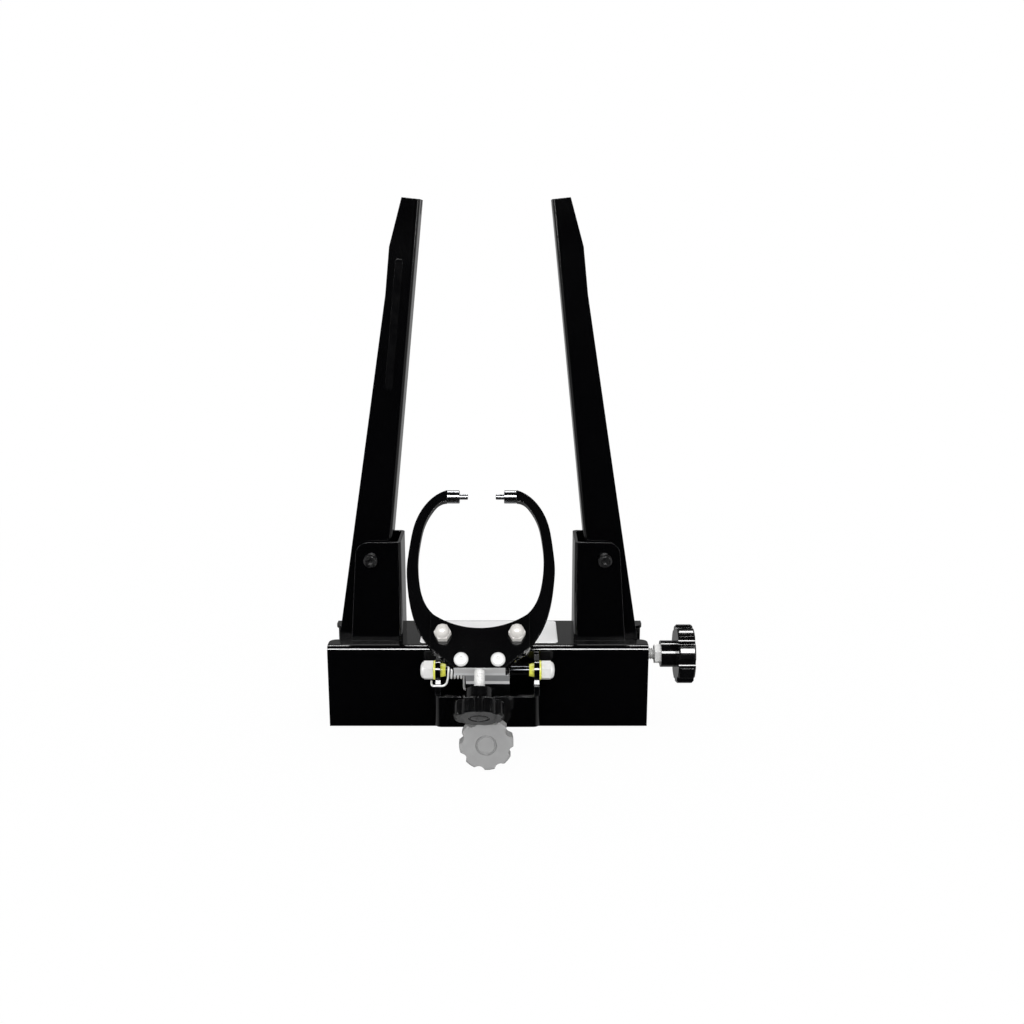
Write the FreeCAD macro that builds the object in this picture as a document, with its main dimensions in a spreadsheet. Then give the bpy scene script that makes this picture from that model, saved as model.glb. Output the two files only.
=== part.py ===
import FreeCAD, Part

import math
import os
import re

import Sketcher

# Bicycle wheel truing stand, in millimetres.
# X runs along the base, Y from the front to the back, Z up.
# The origin is the middle of the base's bottom, in the plane that the stand rests on.

SIZES = {
    # base, one sheet bent into a channel that is open below and at both ends
    "base_width": 305.0,
    "base_depth": 80.0,
    "base_height": 81.0,
    "base_wall": 3.0,
    "base_bend": 5.0,
    "base_foot_bend": 0.3,
    "base_lip": 20.0,
    "base_hole": 6.5,
    "base_hole_end": 27.5,
    "base_hole_side": 12.0,
    "notch_reach": 62.5,
    "notch_width": 40.0,
    "notch_corner": 7.0,
    # brackets welded on the base, one for each upright
    "bracket_inner": 82.0,
    "bracket_foot": 49.0,
    "bracket_head": 42.0,
    "bracket_height": 97.5,
    "bracket_depth": 48.0,
    "bracket_wall": 3.0,
    "bracket_bend": 4.5,
    "bracket_corner": 12.0,
    # uprights, channels that are open towards the outside
    "pivot_out": 110.6,
    "pivot_drop": 17.5,
    "upright_lean": 6.02,
    "upright_depth": 38.0,
    "upright_wall": 2.5,
    "upright_bend": 4.0,
    "web_inset": 17.4,
    "top_rise": 333.6,
    "top_flange": 16.5,
    "bevel_rise": 289.9,
    "step_rise": 247.3,
    "step_flange": 24.0,
    "heel_drop": 118.0,
    "heel_flange": 43.7,
    "fork_drop": 86.0,
    "axle_slot_radius": 5.0,
    "axle_slot_depth": 14.0,
    "arm_slot_width": 8.3,
    "arm_slot_length": 14.0,
    # pivot bolts of the uprights
    "pivot_bolt": 8.0,
    "pivot_head": 13.0,
    "pivot_head_height": 5.0,
    "pivot_socket": 5.0,
    "pivot_nut_flats": 13.0,
    "pivot_nut_height": 6.5,
    "pivot_spacer": 18.0,
    "thread_end": 2.0,
    # lead screw with a right and a left hand half
    "screw_drop": 22.0,
    "screw_diameter": 11.0,
    "screw_left_end": 134.0,
    "screw_right_end": 170.0,
    "screw_tip_chamfer": 1.0,
    "nut_length": 20.0,
    "nut_height": 18.0,
    "nut_pin": 8.0,
    "nut_pin_overrun": 2.0,
    "bearing_width": 20.0,
    "bearing_depth": 26.0,
    "bearing_bush": 15.0,
    "collar_diameter": 22.0,
    "collar_width": 8.0,
    "jam_nut_flats": 17.0,
    "jam_nut_start": 162.5,
    "jam_nut_height": 6.0,
    "lead_hub": 26.0,
    "lead_hub_length": 15.0,
    "lead_knob": 57.4,
    "lead_knob_length": 16.5,
    # knob of the calipers
    "caliper_hub": 24.0,
    "caliper_hub_length": 12.0,
    "caliper_knob": 44.7,
    "caliper_knob_length": 13.5,
    # knob of the radial screw
    "radial_hub": 24.0,
    "radial_hub_length": 6.6,
    "radial_knob": 48.2,
    "radial_knob_length": 12.6,
    "radial_knob_turn": 30.0,
    # edges and lobes of all knobs
    "knob_edge": 1.5,
    "knob_dish": 0.8,
    "knob_dish_radius": 9.4,
    "scallop_depth": 3.5,
    "scallop_radius": 5.5,
    # bracket at the front that carries the calipers
    "holder_half": 48.2,
    "holder_reach": 42.0,
    "holder_wall": 4.8,
    "holder_bend": 6.0,
    "holder_bottom": 17.6,
    "holder_lobe": 9.2,
    "holder_front_top": 47.3,
    "holder_nose": 9.5,
    "holder_slope_back": 11.5,
    "holder_slope_top": 53.5,
    # pivot rod of the calipers with its bushings and nuts
    "rod_out": 23.0,
    "rod_up": 66.3,
    "rod_diameter": 8.5,
    "bush_body": 12.7,
    "bush_nose": 11.0,
    "bush_nose_length": 4.6,
    "bush_flange": 17.8,
    "bush_flange_thick": 1.8,
    "rod_nut_flats": 16.0,
    "rod_nut_height": 8.6,
    "rod_nut_dome": 3.6,
    # radial adjusting screw under the calipers
    "radial_up": 21.7,
    "radial_screw": 6.0,
    "radial_face_out": 91.0,
    "radial_insert": 11.0,
    "radial_insert_length": 9.3,
    "radial_tip": 5.6,
    "radial_tip_length": 5.0,
    "radial_tip_nose": 3.0,
    "radial_neck": 3.0,
    "radial_neck_length": 2.0,
    "radial_insert_proud": 5.0,
    "radial_gap": 0.4,
    "radial_grip": 8.0,
    # caliper head: x across, y up its slope, z out of its front face
    "head_shift": -5.5,
    "head_out": 90.6,
    "head_up": 94.2,
    "head_lean": 40.0,
    "yoke_half": 22.5,
    "yoke_thick": 13.0,
    "yoke_cheek": 3.0,
    "yoke_flank_foot": 1.6,
    "yoke_flank_top": 19.6,
    "yoke_wing": 43.9,
    "yoke_wing_top": 51.8,
    "yoke_saddle": 37.3,
    "yoke_slot_floor": 9.0,
    "arm_pivot_x": 32.65,
    "arm_pivot_y": 31.2,
    "arm_thick": 6.4,
    "arm_bolt": 6.0,
    "arm_bolt_head": 12.0,
    "arm_bolt_head_height": 4.0,
    "dome_flats": 13.0,
    "dome_hex_height": 7.0,
    "dome_height": 8.5,
    "button_x": 16.15,
    "button_y": 7.9,
    "button_screw": 6.0,
    "button_head": 12.6,
    "button_height": 3.4,
    "button_socket": 4.0,
    "arm_tip_y": 170.6,
    "arm_end_x": 32.7,
    "arm_end_width": 11.3,
    "barrel_diameter": 12.3,
    "barrel_length": 11.8,
    "tip_pin": 5.1,
    "tip_pin_length": 7.8,
    "tip_pin_root": 6.0,
    "tip_chamfer": 0.4,
    "nose_x": 11.75,
    "nose_y": 19.5,
    "nose_radius": 4.0,
    "wedge_bottom": 16.6,
    "wedge_top": 27.2,
    "wedge_slope": 20.0,
    "wedge_gap": 0.3,
    "stud_diameter": 9.6,
    "stud_shown": 17.6,
    "stud_tip": 5.0,
    "stud_tip_length": 5.0,
    # carriage behind the yoke
    "carriage_plate": 6.5,
    "carriage_left": 13.1,
    "carriage_right": 26.0,
    "carriage_wing_rise": 9.0,
    "carriage_reach": 44.0,
    "carriage_bend": 4.0,
    "carriage_floor": 6.0,
    "carriage_side": 5.0,
    "carriage_boss": 8.5,
    "carriage_leg": 4.0,
    "carriage_leg_bottom": 16.0,
    # torsion spring round the rod
    "spring_wire": 2.0,
    "spring_coil_radius": 7.4,
    "spring_coil_length": 14.0,
    "spring_seat_gap": 2.6,
    "spring_bend": 2.6,
    "spring_hook_length": 7.2,
    "spring_leg_drop": 21.0,
    "spring_leg_hook": 8.0,
    # fits and clearances
    "running_gap": 0.05,
    "side_gap": 0.3,
    "face_gap": 0.1,
    "overrun": 4.0,
}

LOBES = 8
SPRING_FULL_TURNS = 4
SPRING_START_DEGREES = 200

# Right arm, outer edge from the tip down to the heel: x as shares of the widest half width,
# y as shares of the height of the tip over the foot of the head.
ARM_OUTER_SHARES = [
    (0.650, 0.998), (0.830, 0.911), (0.921, 0.821), (0.962, 0.731), (0.987, 0.642),
    (1.000, 0.555), (0.983, 0.468), (0.952, 0.383), (0.899, 0.298), (0.770, 0.185),
]
# Right arm, inner edge from the tip down to the saddle, in the same shares.
ARM_INNER_SHARES = [
    (0.585, 0.954), (0.678, 0.911), (0.783, 0.821), (0.826, 0.731), (0.848, 0.642),
    (0.844, 0.555), (0.817, 0.468), (0.759, 0.383), (0.610, 0.298),
]
ARM_HALF_WIDTH_SHARE = 2.0614
# Lower end of the right arm: corners counted from its pivot, in nose radii.
ARM_FOOT_SHARES = {"heel": (2.0, -4.0), "sole": (-2.5, -5.0), "throat": (-3.0, 0.25), "crook": (-1.0, 2.0)}
# Domes of nuts and of button heads: shares of the outer radius and of the height.
DOME_SHARES = [(0.96, 0.0), (0.94, 0.35), (0.80, 0.65), (0.52, 0.88)]
BUTTON_SHARES = [(1.0, 0.35), (0.78, 0.85), (0.5, 1.0)]
BUTTON_FLOOR_SHARE = 0.3
SOCKET_SHARE = 0.6

X_AXIS = FreeCAD.Vector(1, 0, 0)
Y_AXIS = FreeCAD.Vector(0, 1, 0)
Z_AXIS = FreeCAD.Vector(0, 0, 1)

doc = FreeCAD.newDocument("truing_stand")
nodes = []


def make_sheet():
    """Spreadsheet with one alias for each driving size."""
    sheet = doc.addObject("Spreadsheet::Sheet", "Sizes")
    for row, (alias, value) in enumerate(SIZES.items(), start=1):
        sheet.set(f"A{row}", alias)
        sheet.set(f"B{row}", str(value))
        sheet.setAlias(f"B{row}", alias)
    doc.recompute()
    return sheet


sheet = make_sheet()


def size(alias):
    """Value of one cell of the sheet."""
    return float(sheet.get(alias))


def bind(thing, prop, formula):
    """Tie a property to a formula of the sheet's cells."""
    def with_sheet(word):
        return f"Sizes.{word[0]}" if word[0] in SIZES else word[0]

    thing.setExpression(prop, re.sub(r"[a-z_]+", with_sheet, formula))


def place(thing, at=("0", "0", "0"), axis=None, angle="0"):
    """Tie a placement to formulas: where the thing's own origin goes, and one turn."""
    for letter, formula in zip("xyz", at):
        bind(thing, f"Placement.Base.{letter}", formula)
    if axis is not None:
        thing.Placement = FreeCAD.Placement(FreeCAD.Vector(), FreeCAD.Rotation(axis, 1))
        for letter, value in zip("xyz", axis):
            bind(thing, f"Placement.Rotation.Axis.{letter}", f"{value:g}")
        bind(thing, "Placement.Rotation.Angle", angle)
    return thing


def along(thing, way, at):
    """Place a thing made along Z so that it runs along the given axis from a point."""
    turns = {"x": (Y_AXIS, "90"), "-x": (Y_AXIS, "-90"), "y": (X_AXIS, "-90"), "-y": (X_AXIS, "90")}
    if way in turns:
        return place(thing, at, *turns[way])
    return place(thing, at)


def node(label, thing):
    """Name a finished sub-part."""
    thing.Label = label
    nodes.append(thing)
    return thing


# Solids from primitives


def cylinder(name, diameter, length, way="z", at=("0", "0", "0")):
    """Cylinder that starts at a point and runs along an axis."""
    thing = doc.addObject("Part::Cylinder", name)
    bind(thing, "Radius", f"({diameter}) / 2")
    bind(thing, "Height", length)
    return along(thing, way, at)


def box(name, corner, extent):
    """Box from its lowest corner and its three lengths."""
    thing = doc.addObject("Part::Box", name)
    for prop, formula in zip(("Length", "Width", "Height"), extent):
        bind(thing, prop, formula)
    return place(thing, corner)


def hexagon(name, flats, height, way="z", at=("0", "0", "0")):
    """Six sided prism, given across its flats."""
    thing = doc.addObject("Part::Prism", name)
    thing.Polygon = 6
    bind(thing, "Circumradius", f"({flats}) / 2 / cos(30)")
    bind(thing, "Height", height)
    return along(thing, way, at)


def fuse(name, *pieces):
    """One solid from several that touch."""
    thing = doc.addObject("Part::MultiFuse", name)
    thing.Shapes = list(pieces)
    thing.Refine = True
    return thing


def cut(name, base, *tools):
    """Base without its tools."""
    thing = doc.addObject("Part::Cut", name)
    thing.Base = base
    thing.Tool = tools[0] if len(tools) == 1 else group(f"{name}_tools", *tools)
    return thing


def common(name, first, second):
    """What two solids share."""
    thing = doc.addObject("Part::Common", name)
    thing.Base = first
    thing.Tool = second
    return thing


def group(name, *pieces):
    """Separate solids kept as one set."""
    thing = doc.addObject("Part::Compound", name)
    thing.Links = list(pieces)
    return thing


# Solids from sketches


def body_plane(body, role):
    """Origin plane of a body, found by its role."""
    return [plane for plane in body.Origin.OriginFeatures if plane.Role == role][0]


def new_sketch(body, role, lift="0"):
    """Empty sketch on an origin plane of the body, or lifted off it."""
    sketch = body.newObject("Sketcher::SketchObject", f"{body.Name}_sketch")
    sketch.AttachmentSupport = (body_plane(body, role), [""])
    sketch.MapMode = "FlatFace"
    bind(sketch, "AttachmentOffset.Base.z", lift)
    return sketch


def pin_point(sketch, item, place_on_item, formulas):
    """Tie a point of the sketch to two formulas, measured from the sketch's origin."""
    for kind, formula in zip(("DistanceX", "DistanceY"), formulas):
        number = sketch.addConstraint(Sketcher.Constraint(kind, -1, 1, item, place_on_item, 1.0))
        bind(sketch, f"Constraints[{number}]", formula)


def polygon(body, role, corners, lift="0"):
    """Closed outline with straight sides, every corner tied to the sheet."""
    sketch = new_sketch(body, role, lift)
    count = len(corners)
    ring = []
    for step in range(count):
        turn = 2 * math.pi * step / count
        ring.append(FreeCAD.Vector(math.cos(turn), math.sin(turn), 0))
    for step in range(count):
        sketch.addGeometry(Part.LineSegment(ring[step], ring[(step + 1) % count]))
    for step in range(count):
        sketch.addConstraint(Sketcher.Constraint("Coincident", step, 2, (step + 1) % count, 1))
    for step, corner in enumerate(corners):
        pin_point(sketch, step, 1, corner)
    return sketch


def circles(body, role, rounds, lift="0"):
    """Circles given by centre and diameter, tied to the sheet."""
    sketch = new_sketch(body, role, lift)
    for item, (centre_x, centre_y, diameter) in enumerate(rounds):
        sketch.addGeometry(Part.Circle(FreeCAD.Vector(item + 1, 1, 0), Z_AXIS, 1.0))
        pin_point(sketch, item, 3, (centre_x, centre_y))
        number = sketch.addConstraint(Sketcher.Constraint("Radius", item, 1.0))
        bind(sketch, f"Constraints[{number}]", f"({diameter}) / 2")
    return sketch


def curved(body, role, edges, lift="0"):
    """Outline whose edges follow one another end to end."""
    sketch = new_sketch(body, role, lift)
    for edge in edges:
        sketch.addGeometry(edge)
    for step in range(len(edges)):
        following = (step + 1) % len(edges)
        ends = [(end, other) for end in (1, 2) for other in (1, 2)]
        end, other = min(ends, key=lambda pair: joint_gap(sketch, step, following, pair))
        sketch.addConstraint(Sketcher.Constraint("Coincident", step, end, following, other))
    return sketch


def joint_gap(sketch, first, second, ends):
    """Distance between one end of an edge and one end of another."""
    return sketch.getPoint(first, ends[0]).distanceToPoint(sketch.getPoint(second, ends[1]))


def pad(body, sketch, length):
    """Grow a sketch to both sides of its plane."""
    feature = body.newObject("PartDesign::Pad", f"{body.Name}_pad")
    feature.Profile = sketch
    feature.Midplane = True
    bind(feature, "Length", length)
    body.Tip = feature
    return feature


def pocket(body, sketch, length=None):
    """Cut a sketch to both sides of its plane, right through when no length is given."""
    feature = body.newObject("PartDesign::Pocket", f"{body.Name}_pocket")
    feature.Profile = sketch
    feature.Midplane = True
    if length is None:
        feature.Type = "ThroughAll"
    else:
        bind(feature, "Length", length)
    body.Tip = feature
    return feature


def soften(body, radius, wanted):
    """Round the edges that a test picks out."""
    doc.recompute()
    last = body.Tip
    names = []
    for number, edge in enumerate(last.Shape.Edges, start=1):
        if wanted(edge):
            names.append(f"Edge{number}")
    feature = body.newObject("PartDesign::Fillet", f"{body.Name}_round")
    feature.Base = (last, names)
    bind(feature, "Radius", radius)
    body.Tip = feature
    return feature


def turned(name, outline):
    """Round piece from its half section: radius and height of each corner."""
    body = doc.addObject("PartDesign::Body", name)
    sketch = polygon(body, "XZ_Plane", outline)
    feature = body.newObject("PartDesign::Revolution", f"{name}_turn")
    feature.Profile = sketch
    feature.ReferenceAxis = (sketch, ["V_Axis"])
    feature.Angle = 360
    body.Tip = feature
    return body


def straight_along(edge, axis):
    """Whether an edge is straight and runs along the axis."""
    if edge.Curve.TypeId != "Part::GeomLine":
        return False
    return abs(edge.Curve.Direction.dot(axis)) > math.cos(math.radians(1))


def near(first, second):
    """Whether two coordinates are the same."""
    return abs(first - second) < size("running_gap")


def pivot_up():
    """Height of the upright pivots, counted from the top of their brackets."""
    return "(base_height + bracket_height - pivot_drop)"


def screw_up():
    """Height of the lead screw, counted from the base's top."""
    return "(base_height - screw_drop)"


# Base


def make_base():
    """Channel with inward lips below, a notch at each end of the top and four mounting holes."""
    body = doc.addObject("PartDesign::Body", "base_channel")
    outer = "base_depth / 2"
    inner = "(base_depth / 2 - base_wall)"
    lip = "(base_depth / 2 - base_lip)"
    section = [
        (f"-{lip}", "0"), (f"-{lip}", "base_wall"), (f"-{inner}", "base_wall"),
        (f"-{inner}", "base_height - base_wall"), (inner, "base_height - base_wall"),
        (inner, "base_wall"), (lip, "base_wall"), (lip, "0"),
        (outer, "0"), (outer, "base_height"), (f"-{outer}", "base_height"), (f"-{outer}", "0"),
    ]
    pad(body, polygon(body, "YZ_Plane", section), "base_width")
    half_depth = size("base_depth") / 2

    def top_bend(edge):
        middle = edge.CenterOfMass
        on_side = straight_along(edge, X_AXIS) and near(abs(middle.y), half_depth)
        return on_side and near(middle.z, size("base_height"))

    def inner_bend(edge):
        middle = edge.CenterOfMass
        inside = half_depth - size("base_wall")
        under_top = near(middle.z, size("base_height") - size("base_wall"))
        return straight_along(edge, X_AXIS) and near(abs(middle.y), inside) and under_top

    def foot_bend(edge):
        middle = edge.CenterOfMass
        return straight_along(edge, X_AXIS) and near(abs(middle.y), half_depth) and near(middle.z, 0)

    soften(body, "base_bend", top_bend)
    soften(body, "base_bend - base_wall", inner_bend)
    soften(body, "base_foot_bend", foot_bend)
    for side in (-1, 1):
        notch = [
            (f"{side} * (base_width / 2 - notch_reach)", "-notch_width / 2"),
            (f"{side} * (base_width / 2 + overrun)", "-notch_width / 2"),
            (f"{side} * (base_width / 2 + overrun)", "notch_width / 2"),
            (f"{side} * (base_width / 2 - notch_reach)", "notch_width / 2"),
        ]
        pocket(body, polygon(body, "XY_Plane", notch, "base_height"), "2 * (base_wall + overrun)")

    def notch_mouth(edge):
        middle = edge.CenterOfMass
        at_end = near(abs(middle.x), size("base_width") / 2)
        at_notch = near(abs(middle.y), size("notch_width") / 2)
        return straight_along(edge, Z_AXIS) and at_end and at_notch

    soften(body, "notch_corner", notch_mouth)
    holes = []
    for side_x in (-1, 1):
        for side_y in (-1, 1):
            along_base = f"{side_x} * (base_width / 2 - base_hole_end)"
            holes.append((along_base, f"{side_y} * (base_depth / 2 - base_hole_side)", "base_hole"))
    pocket(body, circles(body, "XY_Plane", holes), "2 * (base_wall + overrun)")
    node("base_channel", body)


def make_upright_bracket(side, label):
    """Channel welded on the base, its flanges in front of and behind the upright."""
    body = doc.addObject("PartDesign::Body", label)
    outline = [
        (f"{side} * bracket_inner", "base_height"),
        (f"{side} * (bracket_inner + bracket_foot)", "base_height"),
        (f"{side} * (bracket_inner + bracket_head)", "base_height + bracket_height"),
        (f"{side} * bracket_inner", "base_height + bracket_height"),
    ]
    pad(body, polygon(body, "XZ_Plane", outline), "bracket_depth")
    top_x = size("bracket_inner") + size("bracket_head")
    top_z = size("base_height") + size("bracket_height")

    def top_corner(edge):
        middle = edge.CenterOfMass
        return straight_along(edge, Y_AXIS) and near(abs(middle.x), top_x) and near(middle.z, top_z)

    soften(body, "bracket_corner", top_corner)
    half = "(bracket_depth / 2 - bracket_wall)"
    space = [
        (f"{side} * (bracket_inner + bracket_wall)", f"-{half}"),
        (f"{side} * (bracket_inner + bracket_foot + overrun)", f"-{half}"),
        (f"{side} * (bracket_inner + bracket_foot + overrun)", half),
        (f"{side} * (bracket_inner + bracket_wall)", half),
    ]
    pocket(body, polygon(body, "XY_Plane", space))

    def outer_bend(edge):
        return straight_along(edge, Z_AXIS) and near(abs(edge.CenterOfMass.x), size("bracket_inner"))

    def inner_bend(edge):
        inside = size("bracket_inner") + size("bracket_wall")
        return straight_along(edge, Z_AXIS) and near(abs(edge.CenterOfMass.x), inside)

    soften(body, "bracket_bend", outer_bend)
    soften(body, "bracket_bend - bracket_wall", inner_bend)
    bore = [(f"{side} * pivot_out", pivot_up(), "pivot_bolt + 2 * running_gap")]
    pocket(body, circles(body, "XZ_Plane", bore))
    node(label, body)


# Uprights and their pivots


def make_upright(side, label):
    """Tapering channel with an axle slot on top and a fork below; its own origin is its pivot."""
    body = doc.addObject("PartDesign::Body", f"{label}_channel")
    web = f"{side} * (-web_inset)"
    outline = [
        (web, "-heel_drop"),
        (f"{side} * (heel_flange - web_inset)", "-heel_drop"),
        (f"{side} * (step_flange - web_inset)", "step_rise"),
        (f"{side} * (step_flange - web_inset)", "bevel_rise"),
        (f"{side} * (top_flange - web_inset)", "top_rise"),
        (web, "top_rise"),
    ]
    pad(body, polygon(body, "XZ_Plane", outline), "upright_depth")
    half = "(upright_depth / 2 - upright_wall)"
    space = [
        (f"{side} * (upright_wall - web_inset)", f"-{half}"),
        (f"{side} * (heel_flange + overrun)", f"-{half}"),
        (f"{side} * (heel_flange + overrun)", half),
        (f"{side} * (upright_wall - web_inset)", half),
    ]
    pocket(body, polygon(body, "XY_Plane", space))

    def outer_bend(edge):
        return straight_along(edge, Z_AXIS) and near(abs(edge.CenterOfMass.x), size("web_inset"))

    def inner_bend(edge):
        inside = size("web_inset") - size("upright_wall")
        return straight_along(edge, Z_AXIS) and near(abs(edge.CenterOfMass.x), inside)

    soften(body, "upright_bend", outer_bend)
    soften(body, "upright_bend - upright_wall", inner_bend)
    fork = [
        (f"-{half}", "-heel_drop - overrun"), (half, "-heel_drop - overrun"),
        (half, "-fork_drop"), (f"-{half}", "-fork_drop"),
    ]
    pocket(body, polygon(body, "YZ_Plane", fork))
    slot_floor = "(top_rise - axle_slot_depth + axle_slot_radius)"
    slot = [
        ("-axle_slot_radius", slot_floor), ("axle_slot_radius", slot_floor),
        ("axle_slot_radius", "top_rise + overrun"), ("-axle_slot_radius", "top_rise + overrun"),
    ]
    pocket(body, polygon(body, "YZ_Plane", slot))
    pocket(body, circles(body, "YZ_Plane", [("0", slot_floor, "2 * axle_slot_radius")]))
    pocket(body, circles(body, "XZ_Plane", [("0", "0", "pivot_bolt + 2 * running_gap")]))
    drop = f"-({screw_lever()})"
    reach = "(arm_slot_length / 2 - arm_slot_width / 2)"
    pin_slot = [
        ("-arm_slot_width / 2", f"{drop} - {reach}"), ("arm_slot_width / 2", f"{drop} - {reach}"),
        ("arm_slot_width / 2", f"{drop} + {reach}"), ("-arm_slot_width / 2", f"{drop} + {reach}"),
    ]
    pocket(body, polygon(body, "XZ_Plane", pin_slot))
    for end in (-1, 1):
        pocket(body, circles(body, "XZ_Plane", [("0", f"{drop} + {end} * {reach}", "arm_slot_width")]))
    place(body, (f"{side} * pivot_out", "0", pivot_up()), Y_AXIS, f"{-side} * upright_lean")
    node(label, body)


def screw_lever():
    """Distance from an upright's pivot down its own length to the lead screw."""
    return f"({pivot_up()} - {screw_up()}) / cos(upright_lean)"


def nut_out():
    """Distance of each trunnion nut from the middle, at rest."""
    return f"pivot_out + ({pivot_up()} - {screw_up()}) * tan(upright_lean)"


def make_pivot_bolt(side, name):
    """Socket head bolt through a bracket and its upright, with a nut behind."""
    shank = "pivot_bolt / 2"
    head = "pivot_head / 2"
    reach = "(bracket_depth + pivot_nut_height + thread_end)"
    outline = [
        ("0", "0"), (f"{head} - knob_edge", "0"), (head, "knob_edge"), (head, "pivot_head_height"),
        (shank, "pivot_head_height"), (shank, f"pivot_head_height + {reach}"),
        ("0", f"pivot_head_height + {reach}"),
    ]
    blank = turned(f"{name}_blank", outline)
    socket = hexagon(f"{name}_socket", "pivot_socket", f"{SOCKET_SHARE} * pivot_head_height")
    bolt = cut(f"{name}_cut", blank, socket)
    along(bolt, "y", (f"{side} * pivot_out", "-bracket_depth / 2 - pivot_head_height", pivot_up()))
    node(name, bolt)


def make_pivot_nut(side, name):
    """Hexagon nut on a pivot bolt."""
    blank = hexagon(f"{name}_blank", "pivot_nut_flats", "pivot_nut_height")
    bore = cylinder(f"{name}_bore", "pivot_bolt + 2 * running_gap", "pivot_nut_height")
    nut = cut(f"{name}_cut", blank, bore)
    along(nut, "y", (f"{side} * pivot_out", "bracket_depth / 2", pivot_up()))
    node(name, nut)


def make_pivot_spacers(side, name):
    """Two washers that keep the upright in the middle of its bracket."""
    gap = "(bracket_depth / 2 - bracket_wall - upright_depth / 2)"
    rings = []
    for end in (-1, 1):
        outline = [
            ("pivot_bolt / 2 + running_gap", "0"), ("pivot_spacer / 2", "0"),
            ("pivot_spacer / 2", f"{gap} - face_gap"),
            ("pivot_bolt / 2 + running_gap", f"{gap} - face_gap"),
        ]
        ring = turned(f"{name}_ring", outline)
        way = "-y" if end > 0 else "y"
        along(ring, way, (f"{side} * pivot_out", f"{end} * (bracket_depth / 2 - bracket_wall)", pivot_up()))
        rings.append(ring)
    node(name, group(f"{name}_pair", *rings))


# Lead screw, its bearing, nuts and knob


def make_lead_screw():
    """Round bar with chamfered ends that runs through both trunnion nuts."""
    radius = "screw_diameter / 2"
    total = "(screw_left_end + screw_right_end)"
    outline = [
        ("0", "0"), (f"{radius} - screw_tip_chamfer", "0"), (radius, "screw_tip_chamfer"),
        (radius, f"{total} - screw_tip_chamfer"), (f"{radius} - screw_tip_chamfer", total), ("0", total),
    ]
    node("lead_screw", along(turned("lead_screw", outline), "x", ("-screw_left_end", "0", screw_up())))


def make_trunnion_nut(side, name):
    """Block on the lead screw with a round pin at each end that fits the fork of an upright."""
    inside = "(upright_depth - 2 * upright_wall - 2 * side_gap)"
    block = box(
        f"{name}_block",
        (f"{side} * ({nut_out()}) - nut_length / 2", f"-{inside} / 2", f"{screw_up()} - nut_height / 2"),
        ("nut_length", inside, "nut_height"),
    )
    length = "(upright_depth + 2 * nut_pin_overrun)"
    pins = cylinder(
        f"{name}_pins", "nut_pin", length, "y", (f"{side} * ({nut_out()})", f"-{length} / 2", screw_up()))
    bore = cylinder(
        f"{name}_bore", "screw_diameter + 2 * running_gap", "nut_length + 2 * overrun", "x",
        (f"{side} * ({nut_out()}) - nut_length / 2 - overrun", "0", screw_up()))
    node(name, cut(f"{name}_cut", fuse(f"{name}_body", block, pins), bore))


def make_screw_bearing():
    """Block under the top of the base with a bronze bush for the lead screw."""
    top = "(base_height - base_wall)"
    drop = f"(base_height - base_wall - {screw_up()})"
    block = box(
        "bearing_blank",
        ("-bearing_width / 2", "-bearing_depth / 2", f"{screw_up()} - {drop} + base_wall"),
        ("bearing_width", "bearing_depth", f"{top} - {screw_up()} + {drop} - base_wall"),
    )
    bore = cylinder(
        "bearing_bore", "bearing_bush + 2 * running_gap", "bearing_width", "x",
        ("-bearing_width / 2", "0", screw_up()))
    node("screw_bearing_block", cut("bearing_cut", block, bore))
    inner = "screw_diameter / 2 + running_gap"
    ring = [
        (inner, "0"), ("bearing_bush / 2", "0"), ("bearing_bush / 2", "bearing_width"),
        (inner, "bearing_width"),
    ]
    bush = along(turned("screw_bush", ring), "x", ("-bearing_width / 2", "0", screw_up()))
    node("screw_bearing_bush", bush)
    collars = []
    for side in (-1, 1):
        outline = [
            (inner, "0"), ("collar_diameter / 2", "0"), ("collar_diameter / 2", "collar_width"),
            (inner, "collar_width"),
        ]
        way = "x" if side > 0 else "-x"
        start = f"{side} * (bearing_width / 2 + side_gap)"
        collars.append(along(turned("screw_collar", outline), way, (start, "0", screw_up())))
    node("screw_collars", group("screw_collar_pair", *collars))


def make_jam_nut():
    """Hexagon nut that locks the knob on the lead screw."""
    blank = hexagon("jam_blank", "jam_nut_flats", "jam_nut_height")
    bore = cylinder("jam_bore", "screw_diameter + 2 * running_gap", "jam_nut_height")
    nut = cut("jam_cut", blank, bore)
    node("lead_jam_nut", along(nut, "x", ("jam_nut_start", "0", screw_up())))


def body_axis(body):
    """The Z axis of a body's origin."""
    return [line for line in body.Origin.OriginFeatures if line.Role == "Z_Axis"][0]


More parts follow.
